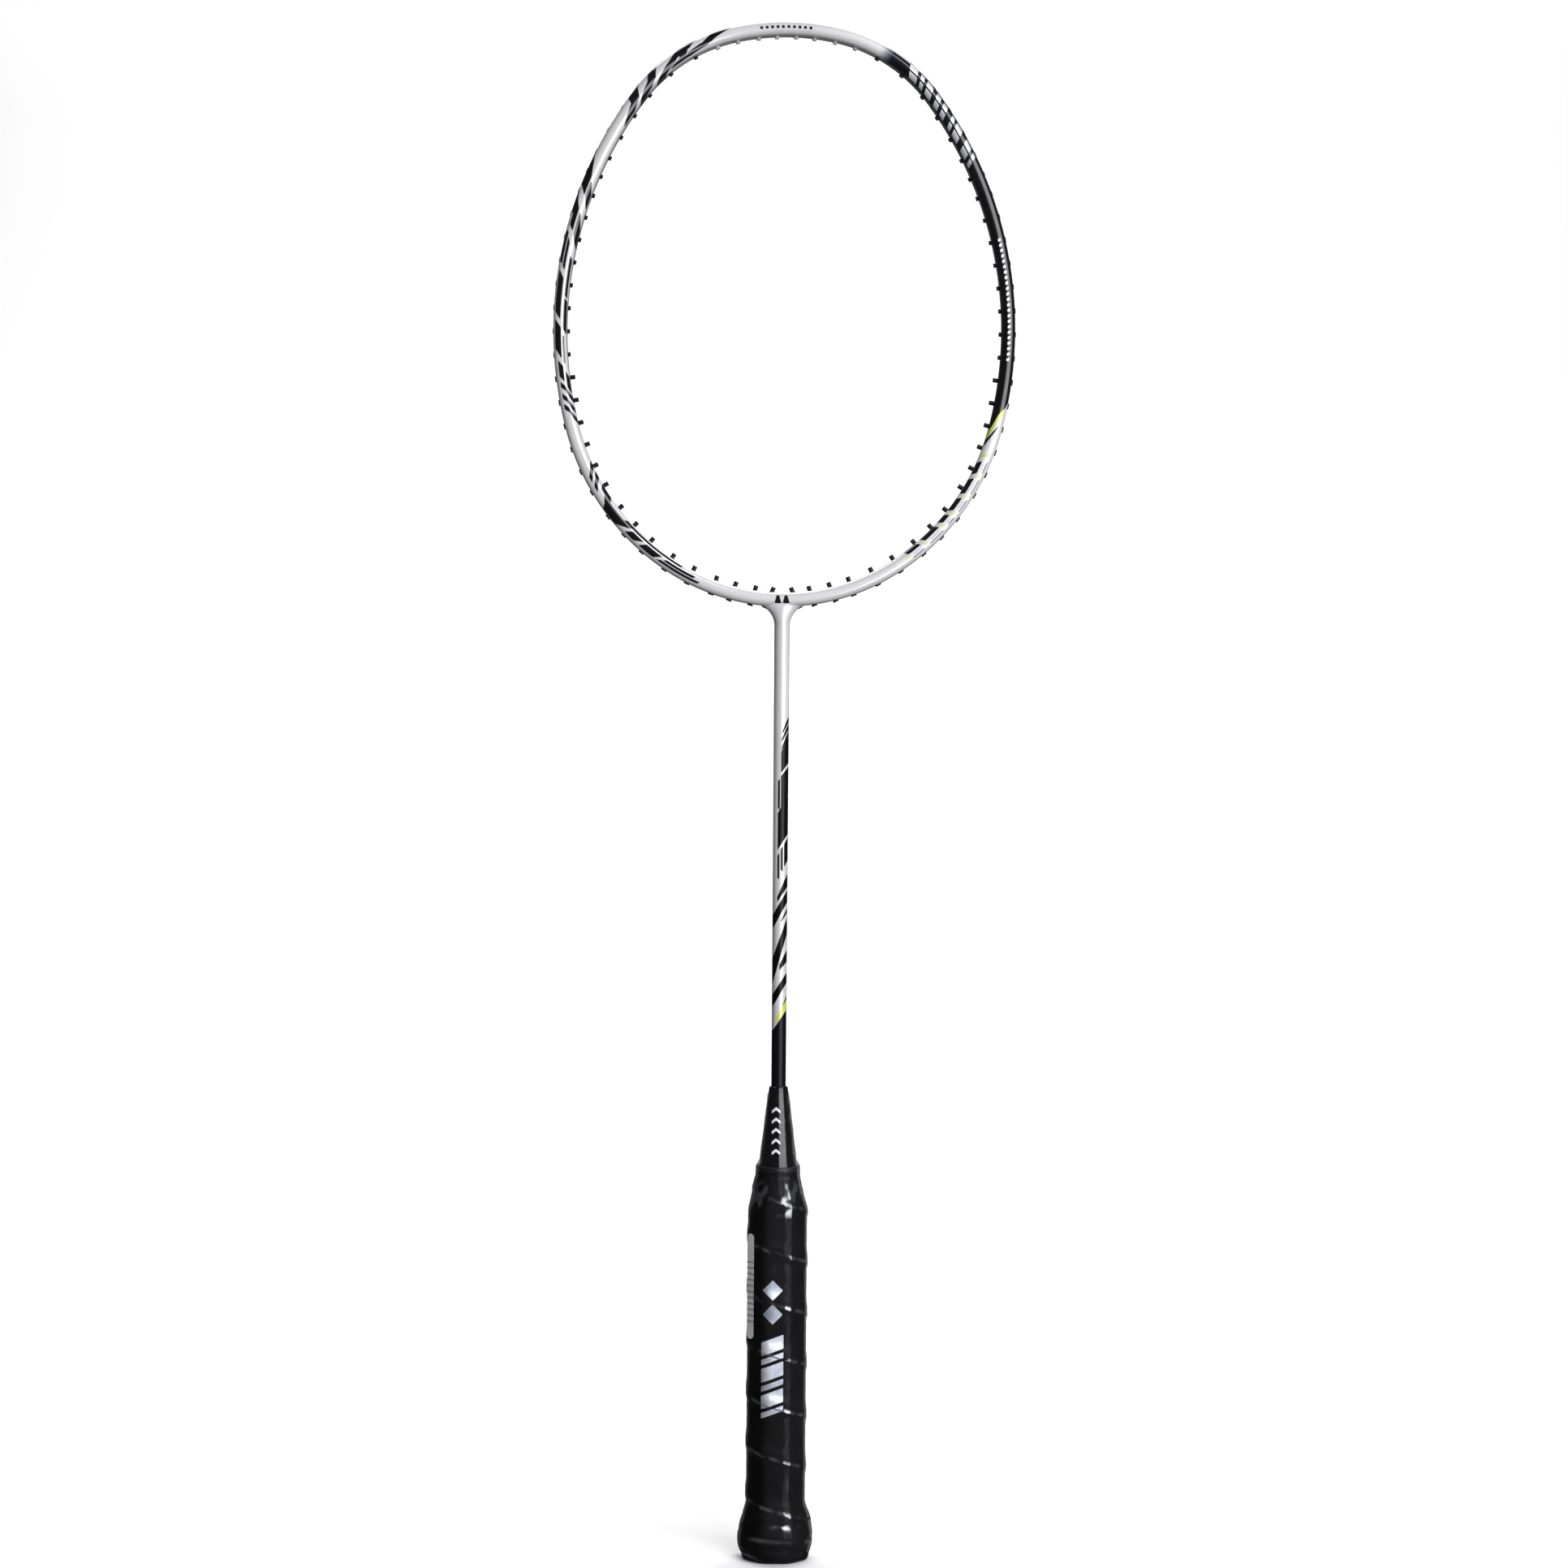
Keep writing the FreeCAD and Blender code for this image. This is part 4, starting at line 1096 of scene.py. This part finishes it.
def clear_film():
    """Thin clear wrapping film: see-through, with a sharp gloss and hazy scuffs."""
    s = Shader("clear_film")
    output = s.tree.nodes["Material Output"]
    haze = s.ramp(s.noise(95, 5, 0.7), [(0.55, 0.0), (0.7, 0.006), (0.85, 0.03)])
    facing = s.add("ShaderNodeLayerWeight", {"Blend": 0.12})
    cover = s.math("ADD", s.math("MULTIPLY", facing.outputs["Fresnel"], 0.6), haze)
    cover = s.math("ADD", cover, s.math("MULTIPLY", s.value("ridge"), 0.16))
    clear = s.add("ShaderNodeBsdfTransparent")
    mixed = s.add("ShaderNodeMixShader")
    s.link(s.math("MINIMUM", cover, 1.0), mixed.inputs["Fac"])
    s.link(clear.outputs["BSDF"], mixed.inputs[1])
    s.link(s.surface.outputs["BSDF"], mixed.inputs[2])
    s.link(mixed.outputs["Shader"], output.inputs["Surface"])
    return s.finish(s.noise(420, 3, 0.6, (1, 1, 0.6)), 0.3, Base_Color=(0.82, 0.83, 0.86),
                    Roughness=0.09, Metallic=0.85)


def plain(name, light, dark, scale, rough, bump, metallic=0.0):
    """A finish that varies gently in tone and gloss."""
    s = Shader(name)
    s.set(Base_Color=s.tones(scale, 4, dark, light),
          Roughness=s.tones(scale * 2.3, 3, rough - 0.05, rough + 0.07))
    return s.finish(s.noise(scale * 7, 3), bump, Metallic=metallic, Specular_IOR_Level=0.25)


def nylon(s, colour):
    """Moulded nylon in a colour, slightly waxy, with fine flow marks."""
    s.set(Base_Color=colour, Roughness=s.tones(700, 2, 0.32, 0.46))
    return s.finish(s.noise(1500, 2), 0.15, 0.0001, Specular_IOR_Level=0.2)


def black_nylon():
    s = Shader("black_nylon")
    return nylon(s, s.tones(320, 4, (0.003, 0.003, 0.0035), (0.006, 0.006, 0.007)))


def top_nylon():
    """The top strip's black nylon, with a pale grey painted highlight over the top centre."""
    s = Shader("nylon_painted_highlight")
    end = s.math("GREATER_THAN", s.math("ABSOLUTE", s.axis("X")), TOP_HIGHLIGHT_REACH * MM)
    # Pale grey painted highlight on the black nylon over the top centre.
    painted_highlight_grey = s.tones(320, 3, (0.30, 0.30, 0.31), (0.42, 0.42, 0.43))
    return nylon(s, s.mix(end, painted_highlight_grey, (0.01, 0.01, 0.011)))


def label_paper():
    """A silver sticker with plain printed rules."""
    s = Shader("silver_label")
    low, high = node_heights("grip_label")
    up = s.axis("Z")
    waves = s.math("SINE", s.math("MULTIPLY", up, 2 * math.pi / (RULE_PITCH * MM)))
    rules = s.math("GREATER_THAN", waves, 0.35)
    above = s.math("GREATER_THAN", up, (low + RULE_MARGINS[0]) * MM)
    below = s.math("LESS_THAN", up, (high - RULE_MARGINS[1]) * MM)
    printed = s.math("MULTIPLY", rules, s.math("MULTIPLY", above, below))
    paper = s.tones(120, 3, (0.72, 0.72, 0.73), (0.86, 0.86, 0.87))
    s.set(Base_Color=s.mix(s.math("MULTIPLY", printed, 0.55), paper, (0.12, 0.12, 0.12)),
          Roughness=s.tones(300, 2, 0.3, 0.42))
    s.set(Metallic=0.3)
    return s.material


def wood():
    """Pale ash, its grain along the handle."""
    s = Shader("handle_ash_wood")
    grain = s.noise(30, 6, 0.6, (9, 9, 0.5))
    s.set(Base_Color=s.ramp(grain, [(0.3, (0.42, 0.27, 0.14)), (0.7, (0.66, 0.47, 0.28))]))
    return s.finish(grain, 0.2, 0.0003, Roughness=0.6)


def give(node, material):
    """A CAD node's better material."""
    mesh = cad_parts[node].data
    mesh.materials.clear()
    mesh.materials.append(material)


# --- the racket ---


def make_racket():
    """Every piece that Blender makes, and the materials of those it leaves to the CAD model."""
    paint = pearl_paint()
    make_frame_skin(paint)
    make_neck_skin(paint)
    make_shaft(paint)
    make_cone(black_gloss())
    make_ring(plain("black_rubber", (0.014, 0.014, 0.015), (0.008, 0.008, 0.009), 200, 0.4, 0.2))
    film = clear_film()
    make_wrap(grip_leather())
    make_film(film)
    make_cone_film(film)
    make_butt(plain("black_butt_plastic", (0.016, 0.016, 0.017), (0.009, 0.009, 0.01), 120, 0.3,
                    0.15))
    grommets = black_nylon()
    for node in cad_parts:
        if node.startswith("grommet"):
            give(node, grommets)
    give("grommet_strip_top", top_nylon())
    give("grip_label", label_paper())
    give("handle_core", wood())
    give("t_joint", plain("brushed_alloy", (0.62, 0.62, 0.63), (0.45, 0.45, 0.47), 240, 0.35, 0.1,
                          1.0))


# --- studio, in metres ---


def area_light(name, place, target, width, height, power, colour=(1, 1, 1)):
    """A soft rectangular light of a power in watts, aimed at a target."""
    data = bpy.data.lights.new(name, "AREA")
    data.shape = "RECTANGLE"
    data.size = width
    data.size_y = height
    data.energy = power
    data.color = colour
    light = bpy.data.objects.new(name, data)
    light.location = place
    way = Vector(target) - light.location
    light.rotation_euler = way.to_track_quat("-Z", "Y").to_euler()
    bpy.context.scene.collection.objects.link(light)
    return light


def make_backdrop():
    """A pale seamless floor that curves up into a wall behind the racket."""
    half = 6.0
    wall = 2.6
    bend = 1.2
    below = 0.0002
    profile = [(-7.0, 0.0)]
    for angle in np.linspace(0, math.pi / 2, 17):
        profile.append((wall - bend + bend * math.sin(angle), bend - bend * math.cos(angle)))
    profile.append((wall, 6.0))
    points = [(x, y, z - below) for y, z in profile for x in (-half, half)]
    mesh = bpy.data.meshes.new("backdrop")
    mesh.from_pydata(points, [], grid_faces(len(profile), 2, False, False))
    mesh.shade_smooth()
    backdrop = bpy.data.objects.new("backdrop", mesh)
    bpy.context.scene.collection.objects.link(backdrop)
    s = Shader("pale_backdrop")
    s.set(Base_Color=(0.93, 0.93, 0.93), Roughness=0.9, Specular_IOR_Level=0.1)
    mesh.materials.append(s.material)
    backdrop.visible_glossy = False
    backdrop.visible_diffuse = False


def make_lights():
    """A large softbox to the right, a weak light from below, and washes on the floor and wall."""
    world = bpy.data.worlds.new("studio")
    bpy.context.scene.world = world
    world.use_nodes = True
    background = world.node_tree.nodes["Background"]
    background.inputs["Color"].default_value = (1, 1, 1, 1)
    background.inputs["Strength"].default_value = 0.08
    middle = (0, 0, 0.36)
    area_light("softbox", (0.85, -1.36, 0.5), middle, 1.45, 2.2, 58, (0.96, 0.96, 1.0))
    kicker = area_light("low_fill", (0, -0.7, 0.03), (0, 0, 0.62), 1.2, 0.3, 1.1)
    kicker.visible_glossy = False
    area_light("floor_wash", (0, 0.7, 2.2), (0, 0.9, 0), 2.4, 1.0, 38)
    area_light("wall_wash", (0, 1.2, 2.6), (0, 2.6, 0.7), 2.4, 0.8, 43)


def make_camera():
    """The photograph's view: level, square to the head, and rolled by a fraction of a degree."""
    data = bpy.data.cameras.new("camera")
    data.lens = 71.5
    data.sensor_width = 36
    data.clip_start = 0.05
    camera = bpy.data.objects.new("camera", data)
    camera.location = (0.0014, -1.37, 0.340)
    camera.rotation_euler = (math.pi / 2, math.radians(-0.44), 0)
    bpy.context.scene.collection.objects.link(camera)
    bpy.context.scene.camera = camera


make_racket()
make_backdrop()
make_lights()
make_camera()
bpy.context.scene.view_settings.view_transform = "Standard"
for leftover in ("Light", "Cube"):
    if leftover in bpy.data.objects:
        bpy.data.objects.remove(bpy.data.objects[leftover])
bpy.context.view_layer.update()
